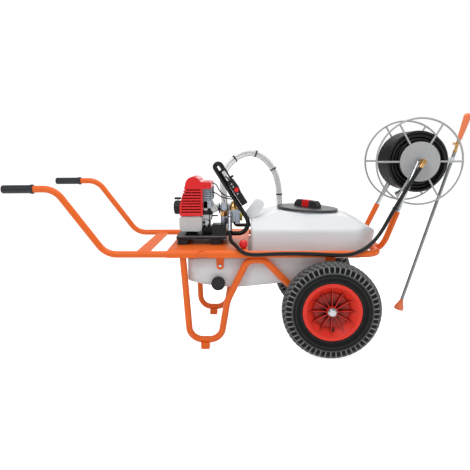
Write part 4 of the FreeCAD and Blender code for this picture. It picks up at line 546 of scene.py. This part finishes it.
def peg(start, end, across, ease=0.8, steps=24):
    """A round peg between two points in millimetres from the axle: a straight profile spun about the
    line between them, its rims eased. With six steps it is a nut."""
    run = np.array(end, float) - np.array(start, float)
    length, radius = np.linalg.norm(run), across / 2
    return lathe([(0, 0), (radius - ease, 0), (radius, ease), (radius, length - ease),
                  (radius - ease, length), (0, length)], from_axle(start), run, steps)


def eased(outline, ease):
    """An outline with each corner cut back by one length along both of its sides."""
    outline = np.array(outline, float)
    return np.stack([outline + ease * unit(np.roll(outline, shift, 0) - outline) for shift in (1, -1)],
                    1).reshape(-1, 2)


def rectangle(left, right, low, high):
    """A rectangle's corners, in order round it."""
    return [(left, low), (right, low), (right, high), (left, high)]


def slab(outline, low, high, ease, origin=(AXLE_X, 0, 0), right=(1, 0, 0), up=(0, 0, 1), along=(0, 1, 0)):
    """An outline in the plane of right and up, in millimetres, carried along the third direction from
    low to high; its edges are eased towards its middle, where both ends close."""
    flat = eased(outline, ease) * MM
    middle = flat.mean(0)
    toward = ease * MM * unit(middle - flat)
    rows = [(0 * flat + middle, low), (flat + toward, low), (flat, low + ease), (flat, high - ease),
            (flat + toward, high), (0 * flat + middle, high)]
    right, up, along = (np.array(axis, float) for axis in (right, up, along))
    grid = np.array([np.array(origin) + row[:, :1] * right + row[:, 1:] * up + level * MM * along
                     for row, level in rows])
    return grid, grid_faces(len(rows), len(flat))


def block(low, high, ease):
    """A block with eased edges between two corners in millimetres from the axle."""
    return slab(rectangle(low[0], high[0], low[2], high[2]), low[1], high[1], ease)


# Cords: each lies on one smooth spline through its route

ARCH = [(-190, 94, 578.2), (-190, 90, 640), (-205, 66, 724), (-246, 42, 792), (-310, 14, 832),
        (-374, -22, 820), (-424, -62, 778), (-448, -88, 724), (-444, -106, 674), (-439, -112, 640),
        (-439, -112, 614.8)]
DELIVERY = [(-414, -182.8, 499.9), (-413, -191.6, 484.6), (-409, -213, 468.5), (-400, -242, 461),
            (-386, -272, 457), (-368, -308, 443), (-342, -315, 428), (-300, -312, 424),
            (-214, -308, 429), (-100, -307.5, 428.5), (-12, -308.5, 424), (60, -309, 421),
            (116, -306, 437), (170, -276, 468), (218, -232, 514), (252, -205, 564), (286, -188, 616),
            (319, -176, 668), (350.6, -165, 716), (378.4, -164.3, 762.3)]
THROTTLE_CABLE = [(-492.3, -80, 699), (-477, -90, 696), (-468, -106, 683), (-458, -124, 666),
                  (-442, -137, 653.5), (-427, -147, 646.5), (-410.6, -154.5, 643.5)]
STOP_CABLE = [(-496.2, -70, 659), (-480, -82, 656), (-468, -102, 651), (-457, -123, 645),
              (-442, -137, 640.5), (-424, -147, 637), (-405, -154.5, 634.5)]
HOSE_ACROSS, TANK_HOSE_ACROSS, CABLE_ACROSS, TANK_HOSE_GAP = 16 * MM, 13 * MM, 5 * MM, 0.4 * MM


def beside(points, shift):
    """A route moved sideways in its own upright plane, as one of two hoses that lie side by side."""
    run = np.gradient(points, axis=0)[:, (0, 2)]
    run[0], run[-1] = points[1, (0, 2)] - points[0, (0, 2)], points[-1, (0, 2)] - points[-2, (0, 2)]
    run = unit(run)
    return points + shift * np.stack([run[:, 1], 0 * run[:, 0], -run[:, 0]], 1)


def spline_line(points, steps):
    """Points along the smooth spline that a route controls, read from the spline itself."""
    curve = bpy.data.curves.new("route", "CURVE")
    curve.dimensions = "3D"
    curve.resolution_u = steps
    route = curve.splines.new("NURBS")
    route.points.add(len(points) - 1)
    route.points.foreach_set("co", np.column_stack([points, np.ones(len(points))]).ravel())
    route.order_u = 3
    route.use_endpoint_u = True
    holder = bpy.data.objects.new("route", curve)
    line = bpy.data.meshes.new_from_object(holder)
    found = np.empty(len(line.vertices) * 3)
    line.vertices.foreach_get("co", found)
    bpy.data.meshes.remove(line)
    bpy.data.objects.remove(holder)
    bpy.data.curves.remove(curve)
    return found.reshape(-1, 3)


def distance_along(line):
    """How far along a line each of its points lies: the lengths of its pieces, added up."""
    return np.concatenate([[0], np.cumsum(np.linalg.norm(np.diff(line, axis=0), axis=1))])


def pipe(line, radius, away, sides=16):
    """A round skin about a line: each ring lies across the line, squared up to one fixed direction. Its
    UV map counts metres round it and along it."""
    run = unit(np.gradient(line, axis=0))
    first = unit(np.cross(run, away))
    second = np.cross(run, first)
    turn = np.linspace(0, TURN, sides, endpoint=False)
    grid = (line[:, None] + radius * (np.cos(turn)[None, :, None] * first[:, None]
                                      + np.sin(turn)[None, :, None] * second[:, None]))
    grid = np.concatenate([line[:1, None] + 0 * grid[:1], grid, line[-1:, None] + 0 * grid[:1]])
    distance = distance_along(line)
    distance = np.concatenate([distance[:1], distance, distance[-1:]])
    uv = np.stack(np.broadcast_arrays(turn[None, :] * radius, distance[:, None]), 2).reshape(-1, 2)
    return grid, grid_faces(len(grid), sides), uv


def laid(name, points, across, away, make, node, sides=16):
    """A hose or cable along a route in metres, from one place on the object to another. It stands for a CAD
    node."""
    line = spline_line(points, 10)
    grid, faces, uv = pipe(line, across / 2, away, sides)
    shown = skin(name, [(grid, faces)], make, uv=uv)
    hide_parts(node)


pair_half = (TANK_HOSE_ACROSS + TANK_HOSE_GAP) / 2
for name, shift in (("suction_hose", pair_half), ("return_hose", -pair_half)):
    laid(name, beside(from_axle(ARCH), shift), TANK_HOSE_ACROSS, (0, 1, 0), clear_pvc,
         "tank_hoses")
laid("delivery_hose_cover", from_axle(DELIVERY), HOSE_ACROSS, (-0.6, -0.2, 0.77), hose_rubber,
     "delivery_hose")
for name, route in (("throttle_cable", THROTTLE_CABLE), ("stop_cable", STOP_CABLE)):
    laid(name, from_axle(route), CABLE_ACROSS, (0.6, 0.7, 0.1), hose_rubber,
         "control_cables", sides=10)

# Ties: a band round the hoses, square in section, with its head and its cut tail

TIE_PLACES = {"arch": (0.65, 0.474, 0.29, 0.086), "delivery": (0.815, 0.905)}
TIE_THICK, TIE_WIDTH, TIE_GAP, TIE_POINTS = 1.7 * MM, 5 * MM, 0.2 * MM, 32
TIE_HEAD, HEAD_THICK, HEAD_LIFT = rectangle(-3.2, 3.2, -2.6, 2.6), 4, 0.5 * MM
TIE_TAIL, TAIL_THICK, TAIL_LEAN = rectangle(-1.2, 1.2, -3, 12), 1.4, 0.5


def tie(line, share, hose_radius, spread):
    """A band across a line at a share of its length: an oval of two half circles, spread apart, carried
    through a small rectangle, with a head on its near side and a tail that stands off it."""
    distance = distance_along(line)
    at = min(max(int(np.searchsorted(distance, share * distance[-1])), 1), len(line) - 2)
    along = unit(line[at + 1] - line[at - 1])
    aside = unit([along[2], 0, -along[0]])
    out = np.cross(along, aside)
    turn = (np.arange(TIE_POINTS) + 0.5) * TURN / TIE_POINTS
    inner, outer = hose_radius + TIE_GAP, hose_radius + TIE_GAP + TIE_THICK
    rows = [(inner, -0.5), (outer, -0.5), (outer, 0.5), (inner, 0.5)]
    grid = np.array([line[at] + ((radius * np.cos(turn) + spread * np.sign(np.cos(turn)))[:, None] * aside
                                 + (radius * np.sin(turn))[:, None] * out + level * TIE_WIDTH * along)
                     for radius, level in rows])
    near = out if out[1] < 0 else -out
    spot = line[at] + near * (outer + HEAD_LIFT) + aside * spread
    tail = slab(TIE_TAIL, -TAIL_THICK / 2, TAIL_THICK / 2, 0.3, spot, along,
                unit(aside + TAIL_LEAN * near), np.cross(along, aside))
    head = slab(TIE_HEAD, -HEAD_THICK / 2, HEAD_THICK / 2, 0.6, spot, along, aside, near)
    return [(grid, grid_faces(len(rows), TIE_POINTS, closed=True)), tail, head]


bands = []
for route, places, radius, spread in ((ARCH, TIE_PLACES["arch"], TANK_HOSE_ACROSS / 2, pair_half),
                                      (DELIVERY, TIE_PLACES["delivery"], HOSE_ACROSS / 2, 0)):
    line = spline_line(from_axle(route), 20)
    bands += [grid for share in places for grid in tie(line, share, radius, spread)]
ties = skin("nylon_ties", bands, black_nylon)
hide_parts("hose_ties")

# Wound hose: turns side by side from flange to flange, then a climb to the next layer

PACK_HOSE = 15 * MM
PACK_LAYERS, PACK_TURNS, PACK_POINTS = 4, 12, 12
LAYER_RISE, CLIMB = 1.005 * PACK_HOSE, 0.25
PACK_START = math.radians(195)
HOSE_TAIL = [(404, 90, 659.5), (386, 90, 652.5), (373, 90, 644), (364, 90, 635)]
COUPLING = [(0, -14), (9, -14), (9.5, -3), (10, -2), (13, -1), (13, 12), (12, 13), (8, 13), (8, 4), (0, 4)]
reel_centre = np.mean(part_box("reel"), axis=0)
pack_low, pack_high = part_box("hose_pack")
pack_radius = (pack_high.x - pack_low.x) / 2


def winding():
    """The wound hose's route: layer k runs from one flange to the other while the angle grows, and a
    quarter turn at the flange lifts it by one hose to layer k + 1."""
    span = PACK_TURNS + CLIMB
    turns = np.arange(0, PACK_LAYERS * span - CLIMB, 1 / PACK_POINTS)
    layer = np.floor(turns / span)
    within = turns - layer * span
    climb = np.clip((within - PACK_TURNS) / CLIMB, 0, 1)
    level = PACK_HOSE * (PACK_TURNS / 2 - np.minimum(within, PACK_TURNS))
    offset = np.where(layer % 2 == 0, level, -level)
    inner = pack_radius - (PACK_LAYERS - 0.5) * LAYER_RISE
    radius = (inner + (layer + climb) * LAYER_RISE) / math.cos(math.pi / PACK_POINTS)
    angle = PACK_START - TURN * turns
    return np.stack([reel_centre[0] + radius * np.cos(angle), reel_centre[1] + offset,
                     reel_centre[2] + radius * np.sin(angle)], 1)


line = spline_line(np.concatenate([winding(), from_axle(HOSE_TAIL)]), 4)
grid, faces, uv = pipe(line, PACK_HOSE / 2, (0, 1, 0), 10)
pack = skin("wound_hose", [(grid, faces)], hose_rubber, "reel", uv=uv)
coupling = skin("hose_end_coupling", [lathe(COUPLING, line[-1], line[-1] - line[-3], 24)],
                crimped_steel, "reel")
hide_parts("hose_pack")

# Tyres: a bulging section with chevron blocks on the crown and a ring of cells on each shoulder

LUGS, LUG_POINTS, LUG_DEPTH, LUG_SLANT = 52, 14, 6 * MM, 1.7
CELL_DEPTH, CELL_TURN = 3.2 * MM, 0.2
SHOULDER_OUTER, SHOULDER_INNER, WALL_LINES = 12 * MM, 39 * MM, (54 * MM, 76 * MM)
CROWN_REACH, BEAD_REACH, CROWN_SQUARE, BEAD_SQUARE = 52 * MM, 56 * MM, 3.0, 2.1
SECTION_END, SECTION_POINTS = 0.72 * math.pi, 98
# Where a block starts and ends, in turns of one lug, where the middle groove ends, and a cell's rib
BLOCK_START, BLOCK_END, GROOVE_END, CELL_RIB = (0.0, 0.1), (0.56, 0.66), (0.05, 0.11), (0.33, 0.40)


def step(value, low, high):
    """Zero below low, one above high and a smooth rise between."""
    t = np.clip((value - low) / (high - low), 0, 1)
    return t * t * (3 - 2 * t)


def squared(wave, squareness):
    """A sine or cosine pushed out towards one, as a superellipse has it."""
    return np.sign(wave) * np.abs(wave) ** (2 / squareness)


def tyre_grid(side):
    """A tyre: a superellipse section spun about the axle. The crown sinks between slanted blocks, each
    shoulder sinks in a ring of cells, and two fine lines run round the wall. Also gives each point's
    light grey share, dust and painted highlight, from 0 in a groove to 1 on a rib's edge."""
    low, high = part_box("tyre_" + side)
    middle = (np.array(low) + np.array(high)) / 2
    outer, half = (high.x - low.x) / 2, (high.y - low.y) / 2
    section = np.linspace(-SECTION_END, SECTION_END, SECTION_POINTS)
    spin = np.linspace(0, TURN, LUGS * LUG_POINTS, endpoint=False)
    inward = np.abs(section) >= math.pi / 2
    squareness = np.where(inward, BEAD_SQUARE, CROWN_SQUARE)
    cosine = np.cos(section)
    across = (half * squared(np.sin(section), squareness))[:, None]
    reach = np.where(inward, BEAD_REACH, CROWN_REACH)
    radius = (outer - CROWN_REACH + reach * squared(cosine, squareness))[:, None]
    drop, share = outer - radius, np.abs(across) / half
    turns = LUGS * spin / TURN
    phase = (turns + LUG_SLANT * share + np.where(across > 0, 0.5, 0.0)) % 1
    lug = step(phase, *BLOCK_START) * (1 - step(phase, *BLOCK_END)) * step(share, *GROOVE_END)
    crown = 1 - step(drop, SHOULDER_OUTER - 4 * MM, SHOULDER_OUTER)
    rib = step(np.abs((turns + CELL_TURN) % 1 - 0.5), *CELL_RIB)
    ring = (step(drop, SHOULDER_OUTER, SHOULDER_OUTER + 3 * MM)
            * (1 - step(drop, SHOULDER_INNER - 5 * MM, SHOULDER_INNER)))
    lines = sum(np.exp(-((drop - level) / (0.9 * MM)) ** 2) for level in WALL_LINES)
    sunk = LUG_DEPTH * crown * (1 - lug) + CELL_DEPTH * ring * (1 - rib) - 0.7 * MM * lines
    radius = radius - sunk * np.where(crown > 0.5, 1, 0.4 * np.maximum(np.abs(cosine), 0.15)[:, None])
    across = across - np.sign(across) * sunk * (1 - crown)
    grid = np.stack([middle[0] + radius * np.cos(spin), middle[1] + across,
                     middle[2] + radius * np.sin(spin)], 2)
    # Light grey on block edges, cell ribs, shoulder bands and wall lines: partly dust, partly a painted
    # highlight
    edge = crown * (0.45 * lug + 1.5 * lug * (1 - lug))
    band = (np.exp(-((drop - SHOULDER_OUTER) / (2.5 * MM)) ** 2)
            + np.exp(-((drop - SHOULDER_INNER) / (2.0 * MM)) ** 2))
    dust_and_highlight_share = np.clip(edge + 0.9 * ring * rib + 0.55 * band + 0.15 * lines, 0, 1)
    return grid, grid_faces(*grid.shape[:2], closed=True), dust_and_highlight_share


for side in ("near", "far"):
    grid, faces, dust_and_highlight_share = tyre_grid(side)
    tyre = skin("tread_" + side, [(grid, faces)], tyre_rubber, "wheel_" + side, sharp=50)
    dust_and_highlight = tyre.data.attributes.new("dust_and_highlight", "FLOAT", "POINT")
    dust_and_highlight.data.foreach_set("value", dust_and_highlight_share.ravel().astype(np.float32))
    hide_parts("tyre_" + side)

# Tyre valves: a rubber stem through the rim's barrel, pointing down into the dish

AXLE_HEIGHT, VALVE_ANGLE, VALVE_SIDE, VALVE_REACH = 200, math.radians(85), 337, (74, 82, 113)
for side, level in (("near", -VALVE_SIDE), ("far", VALVE_SIDE)):
    tip, collar, root = ((reach * math.cos(VALVE_ANGLE), level, AXLE_HEIGHT - reach * math.sin(VALVE_ANGLE))
                         for reach in VALVE_REACH)
    skin("tyre_valve_" + side, [peg(tip, collar, 8, 1), peg(collar, root, 12, 2)], seal_rubber,
         "wheel_" + side)

# Tank: one soft-edged skin worked out section by section across the barrow, then hollowed and opened

TANK_REAR, TANK_FRONT, TANK_STEP = -592 * MM, 204 * MM, -325 * MM
TANK_SHELF, TANK_FLOOR, TANK_HALF, TANK_WALL = 404 * MM, 271 * MM, 248 * MM, 4 * MM
TANK_SIDE = [(-592, 301), (-517, 281), (-432, 271), (-368, 271), (-200, 289), (128, 329), (165, 404),
             (191, 441), (204, 502), (84, 561.2), (-215, 578.5), (-325, 546), (-325, 404), (-592, 404)]
# The rays start at the heart; the outline's first sides cut them, and its step cuts them as one corner
CUT_SIDES, TANK_HEART = 11, np.array([-196, 384]) * MM
SHOULDER_TOP, CROWN_HALF, SIDE_SLOPE = 585 * MM, 100 * MM, 0.473
NOSE_CHAMFER, DRAFT, DRAFT_RISE, FLOOR_CLEAR = 82 * MM, 14 * MM, 79 * MM, 6 * MM
CORNER_ROUND, EDGE_ROUND, SOFTNESS, OUTLINE_STEP, FAR = 28 * MM, 14 * MM, 90, 8.5 * MM, 10.0
STATIONS, END_SHARES = np.arange(228, 0, -7) * MM, (0.0, 0.12, 0.3, 0.5, 0.68, 0.82, 0.92, 0.98)
LID_SPOT, LID_LEAN = (-68, 0, 570), math.radians(3.3)


def leave(direction, normal, offset):
    """How far a ray from the tank's heart goes before it leaves the half-plane under a line."""
    speed = direction @ normal
    return np.where(speed > 1e-6, offset / np.maximum(speed, 1e-6), FAR)


def line_limit(direction, start, end, inset):
    """The same for the half-plane inside the line from start to end, in millimetres and taken round the
    outline, when that line has moved inwards by an inset."""
    start, end = np.array(start) * MM, np.array(end) * MM
    run = unit(end - start)
    normal = np.array([run[1], -run[0]])
    return leave(direction, normal, (start - TANK_HEART) @ normal - inset)


def tank_skin():
    """The tank: for each station across it, the side outline's rays are cut short by the lines of
    that station, blended so that their edges are soft, and the last stations close on the heart."""
    corners = np.array(TANK_SIDE, float) * MM
    around = []
    for start, end in zip(corners, np.roll(corners, -1, 0)):
        count = max(4, int(np.linalg.norm(end - start) / OUTLINE_STEP))
        around.append(start + (end - start) * np.linspace(0, 1, count, endpoint=False)[:, None])
    direction = unit(np.concatenate(around) - TANK_HEART)
    rearward, forward, down, up = np.array([(-1, 0), (1, 0), (0, -1), (0, 1)])
    half_rows = ([(TANK_HALF, EDGE_ROUND, scale) for scale in END_SHARES]
                 + [(TANK_HALF - EDGE_ROUND * (1 - math.cos(bend)), EDGE_ROUND * (1 - math.sin(bend)), 1.0)
                    for bend in np.linspace(0, TURN / 4, 9)]
                 + [(station, 0.0, 1.0) for station in STATIONS])
    rows = [(-station, inset, scale) for station, inset, scale in half_rows] + half_rows[::-1]
    grid = np.empty((len(rows), len(direction), 3))
    for row, (station, inset, scale) in enumerate(rows):
        side = abs(station)
        past = np.clip((min(side, TANK_HALF - EDGE_ROUND) - (TANK_HALF - CORNER_ROUND)) / CORNER_ROUND, 0, 1)
        corner = CORNER_ROUND * (1 - math.sqrt(1 - past ** 2))
        nose = max(0, side - TANK_HALF + NOSE_CHAMFER)
        floor = TANK_FLOOR - FLOOR_CLEAR + max(0, side - TANK_HALF + DRAFT) * DRAFT_RISE / DRAFT
        shoulder = SHOULDER_TOP - SIDE_SLOPE * max(0, side - CROWN_HALF)
        limits = [line_limit(direction, start, end, inset)
                  for start, end in zip(TANK_SIDE[:CUT_SIDES], TANK_SIDE[1:])]
        limits += [leave(direction, rearward, TANK_HEART[0] - TANK_REAR - corner - inset),
                   leave(direction, forward, TANK_FRONT - TANK_HEART[0] - nose - inset),
                   leave(direction, down, TANK_HEART[1] - floor - inset),
                   leave(direction, up, shoulder - TANK_HEART[1] - inset)]
        wall = leave(direction, rearward, TANK_HEART[0] - TANK_STEP - corner - inset)
        shelf = leave(direction, up, TANK_SHELF - TANK_HEART[1] - inset)
        limits.append(np.sum(np.minimum([wall, shelf], FAR / 2) ** SOFTNESS, axis=0) ** (1 / SOFTNESS))
        reach = np.sum(np.array(limits) ** -float(SOFTNESS), axis=0) ** (-1 / SOFTNESS) * scale
        grid[row, :, 0] = TANK_HEART[0] + reach * direction[:, 0] + AXLE_X
        grid[row, :, 1] = station
        grid[row, :, 2] = TANK_HEART[1] + reach * direction[:, 1]
    return grid, grid_faces(len(rows), len(direction))


def cut_away(shell, name, tool):
    """Adds a cut to a piece that takes the space of a closed grid out of it; gives the cutter, which
    goes once the cut is made."""
    grid, faces = tool
    points = grid.reshape(-1, 3)
    mesh = joined(name, points, outward(points, faces))[0]
    mesh.validate()
    cutter = placed(name, mesh)
    cut = shell.modifiers.new(name, "BOOLEAN")
    cut.object, cut.solver = cutter, "EXACT"
    return cutter


def hollow(shell, wall, floor_step, bore):
    """Cuts the step under a closed skin, gives it its wall, inwards, and opens it where the bore passes,
    all made final in its mesh."""
    cutters = [cut_away(shell, "floor_step", floor_step)]
    wall_of = shell.modifiers.new("wall", "SOLIDIFY")
    wall_of.thickness, wall_of.offset = wall, -1
    cutters.append(cut_away(shell, "opening", bore))
    seen = shell.evaluated_get(bpy.context.evaluated_depsgraph_get())
    made = bpy.data.meshes.new_from_object(seen)
    shell.modifiers.clear()
    shell.data = made
    for cutter in cutters:
        bpy.data.objects.remove(cutter)


BORE_RADIUS, BORE_REACH, NECK_RADIUS, NECK_RIM, NECK_FOOT, NECK_EDGE, NECK_TOP = 118, 30, 126, 1, -8, 5, 7.5
FRONT_STEP, STEP_HALF = [(-64, 180), (260, 180), (260, 398), (15, 398), (-64, 305.5)], 300
lid_axis = np.array([math.sin(LID_LEAN), 0, math.cos(LID_LEAN)])
lid_spot = from_axle(LID_SPOT)
tank = skin("tank_shell", [tank_skin()], tank_polyethylene, sharp=80)
bore = lathe([(0, -BORE_REACH), (BORE_RADIUS, -BORE_REACH), (BORE_RADIUS, BORE_REACH), (0, BORE_REACH)],
             lid_spot, lid_axis, 96)
hollow(tank, TANK_WALL, slab(FRONT_STEP, -STEP_HALF, STEP_HALF, 3), bore)
neck = [(BORE_RADIUS, NECK_FOOT), (NECK_RADIUS, NECK_FOOT), (NECK_RADIUS, NECK_EDGE),
        (NECK_RADIUS - NECK_RIM, NECK_TOP), (BORE_RADIUS + NECK_RIM, NECK_TOP), (BORE_RADIUS, NECK_EDGE)]
skin("filler_neck", [lathe(neck, lid_spot, lid_axis, 96, closed=True)], tank_polyethylene)
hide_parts("tank")

# Pump: castings, nuts and ribs round the head, placed by the photograph

NUT = 6
HEAD_SPOT, SOCKET_SPOT, DOME_FOOT = (-398, -114), (-441, -112), 586
DOME = [(0, -1), (18.3, -1), (18.6, 1), (18.6, 12), (17.6, 15.5), (12.4, 25), (11.4, 28), (10.6, 33),
        (9, 36), (0, 37)]
HEAD_RIBS, RIB_FOOT, RIB_RISE, RIB_THICK = 6, 527, 9, 4.5

dome = lathe(DOME, from_axle((*HEAD_SPOT, DOME_FOOT)), (0, 0, 1), 32)
socket_nut = peg((*SOCKET_SPOT, 558), (*SOCKET_SPOT, 579), 37, 1.5, NUT)
socket_collar = peg((*SOCKET_SPOT, 555), (*SOCKET_SPOT, 559), 26, 0.8)
front_nut = peg((-414, -132, 574), (-414, -139.5, 574), 22, 1, NUT)
bleed_screw = peg((-406, -131, 556), (-406, -141, 556), 9, 0.8, NUT)
skin("pump_brasswork", [dome, socket_nut, socket_collar, front_nut, bleed_screw], forged_brass,
     sharp=30)

head_ribs = [block((-393, -137.5, foot), (-371.5, -97, foot + RIB_THICK), 0.8)
             for foot in RIB_FOOT + RIB_RISE * np.arange(HEAD_RIBS)]
rib_core = block((-391, -135, 524), (-375, -99, 580), 1.5)
socket_post = peg((-443, -112, 524), (-443, -112, 557), 25, 1.5)
valve_case = block((-452, -132, 584), (-427, -120, 612), 2)
head_stud = peg((-384, -116, 578), (-384, -116, 592), 12, 1)
skin("pump_castings", [*head_ribs, rib_core, socket_post, valve_case, head_stud], bare_casting)

bleed_hose = peg((-409.5, -137.6, 553), (-409.5, -141, 479), 9, 1)
skin("bleed_hose", [bleed_hose], clear_pvc)

# Engine: covers, carburettor and supports in front of the crankcase, whose near face is CASE_FACE

CASE_FACE, COVER_X, COVER_Z = -92, -485, 588
COVER = [(0, 0), (17, 0), (17, 22), (15.5, 24), (13, 24), (12.5, 22.5), (7, 22.5), (6, 25), (0, 25.5)]
COVER_BOLTS, BOLT_RING, BOLT_START = 4, 14, 0.6

round_cover = lathe(COVER, from_axle((COVER_X, CASE_FACE + 19, COVER_Z)), (0, -1, 0), 40)
side_cover = block((-534, CASE_FACE - 6, 576), (-513, CASE_FACE + 26, 624), 4)
cover_fins = [block((-538, CASE_FACE - 3, foot), (-509, CASE_FACE + 26, foot + 6), 1) for foot in (590, 604)]
air_throat = peg((-520, CASE_FACE - 11, 527), (-520, -40, 527), 26, 2)
float_bowl = peg((-520, -84, 500), (-520, -84, 520), 20, 2)
throat_case = block((-541, -96, 538), (-496, -50, 562), 3)
skin("engine_covers", [round_cover, side_cover, *cover_fins, air_throat, float_bowl, throat_case],
     cast_aluminium)

bolts = []
for angle in BOLT_START + np.arange(COVER_BOLTS) * TURN / COVER_BOLTS:
    x, z = COVER_X + BOLT_RING * math.cos(angle), COVER_Z + BOLT_RING * math.sin(angle)
    bolts.append(peg((x, CASE_FACE - 3, z), (x, CASE_FACE - 8, z), 5, 0.6, NUT))
skin("cover_bolts", bolts, zinc_plate)

lever_rod = peg((-507.5, CASE_FACE - 2.6, 512), (-507.5, CASE_FACE - 2.6, 622), 5.4)
foot_case = block((-541, -100, 479), (-493, -28, 507), 3)
choke_knob = peg((-531, CASE_FACE - 4, 527), (-531, CASE_FACE - 16, 527), 12, 1)
choke_lever = block((-513, CASE_FACE - 8, 518), (-503, CASE_FACE + 6, 536), 1.5)
uprights = [block((-503, CASE_FACE - 1, 540), (-499, CASE_FACE + 12, 618), 1),
            block((-466, CASE_FACE + 2, 566), (-461, CASE_FACE + 20, 610), 1)]
cross_plate = block((-500, CASE_FACE - 2, 553), (-470, CASE_FACE + 16, 558), 1)
skin("engine_fittings", [lever_rod, foot_case, choke_knob, choke_lever, *uprights, cross_plate],
     black_nylon)

# Engine base: a painted highlight along its tray's top edge. Shroud: an inner wall behind the louvres on both
# sides, dark red as painted shade

TRAY_EDGE = (-645, -170.6, 473.5), (-428, -168, 478.6)
LINER = [(-627, 566), (-539, 566), (-539, 700), (-552, 716), (-594, 716), (-627, 606)]
LINER_FACES, LINER_THICK = (-121, -1.5), 2.5
skin("tray_edge", [block(*TRAY_EDGE, 0.8)], painted_highlight_enamel)
# The inner wall's dark red is a painted shade of the red shroud
skin("shroud_liner", [slab(LINER, face, face + LINER_THICK, 0.5) for face in LINER_FACES],
     shaded_abs)

# Control handle: finger ribs on the grip's lower end and three screws, each so far down the handle

HANDLE_LEAN, HANDLE_FOOT, HANDLE_LENGTH = math.radians(58), (-331, -158, 537), 281
RIB_PLACES, RIB_WIDE, RIB_LOW, RIB_HIGH, RIB_HALF = range(160, 204, 7), 3.2, 10.5, 39.6, 16.2
SCREW_PLACES, SCREW_OUT, SCREW_SIDE = (104, 118, 152), 24, -14.8
SCREW = [(0, 0), (3.4, 0), (3.4, 1.4), (2.6, 2), (0, 2)]
handle_down = np.array([math.cos(HANDLE_LEAN), 0, -math.sin(HANDLE_LEAN)])
handle_out = np.array([math.sin(HANDLE_LEAN), 0, math.cos(HANDLE_LEAN)])
handle_top = from_axle(HANDLE_FOOT) - HANDLE_LENGTH * MM * handle_down
skin("grip_ribs", [slab(rectangle(at, at + RIB_WIDE, RIB_LOW, RIB_HIGH), -RIB_HALF, RIB_HALF, 0.8, handle_top,
                        handle_down, handle_out, (0, 1, 0)) for at in RIB_PLACES],
     black_nylon)
screws = [lathe(SCREW, handle_top + (handle_down * at + handle_out * SCREW_OUT + (0, SCREW_SIDE, 0)) * MM,
                (0, -1, 0), 16) for at in SCREW_PLACES]
skin("grip_screws", screws, zinc_plate)

# Starter rope: rings from inside the case's mouth into the grip

ROPE_RADIUS, ROPE_RINGS, ROPE_SUNK, ROPE_TUCKED, ROPE_HELD = 2, 24, 2, 1, 1
rope_low, rope_high = (np.array(corner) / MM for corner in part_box("starter_rope"))
rope_foot = np.array([*(rope_low + rope_high)[:2] / 2, rope_low[2] - ROPE_SUNK])
rope_rise = np.linspace(0, rope_high[2] + ROPE_TUCKED - rope_foot[2], ROPE_RINGS)
rope_profile = [(0, 0), *((ROPE_RADIUS, rise) for rise in rope_rise), (0, rope_rise[-1])]
rope = skin("rope_run", [lathe(rope_profile, rope_foot * MM, (0, 0, 1), 12)], starter_cord,
            body=None)
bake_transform(rope)
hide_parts("starter_rope")

# Lid: a red block over the middle of the grip bar, which stands at 45 degrees to the barrow

BAR_CAP, BAR_CAP_HALF = rectangle(-22, 17, -14, 17), 16
bar_middle = np.mean(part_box("lid_handle"), axis=0)
bar_along = unit((lid_axis[2], -1, -lid_axis[0]))
bar_cap = slab(BAR_CAP, -BAR_CAP_HALF, BAR_CAP_HALF, 1.5, bar_middle, bar_along, lid_axis,
               np.cross(lid_axis, bar_along))
skin("bar_cap", [bar_cap], gloss_abs, "lid_handle")

# Lance: the tube as thick as it looks, between the valve and the nozzle

LANCE_LEAN, LANCE_TOP, SLEEVE_REACH, SLEEVE_ACROSS = math.radians(16.5), (689, 158, 985), (172.5, 923.5), 16
lance_down = np.array([-math.sin(LANCE_LEAN), 0, -math.cos(LANCE_LEAN)])
sleeve = peg(*(LANCE_TOP + reach * lance_down for reach in SLEEVE_REACH), SLEEVE_ACROSS, 1)
sleeve = skin("lance_sleeve", [sleeve], drawn_steel)
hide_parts("lance_tube")

# Floor

FLOOR_ACROSS = 40
bpy.ops.mesh.primitive_plane_add(size=FLOOR_ACROSS)
floor = bpy.context.object
floor.name = "floor"
floor.data.materials.append(floor_paint())
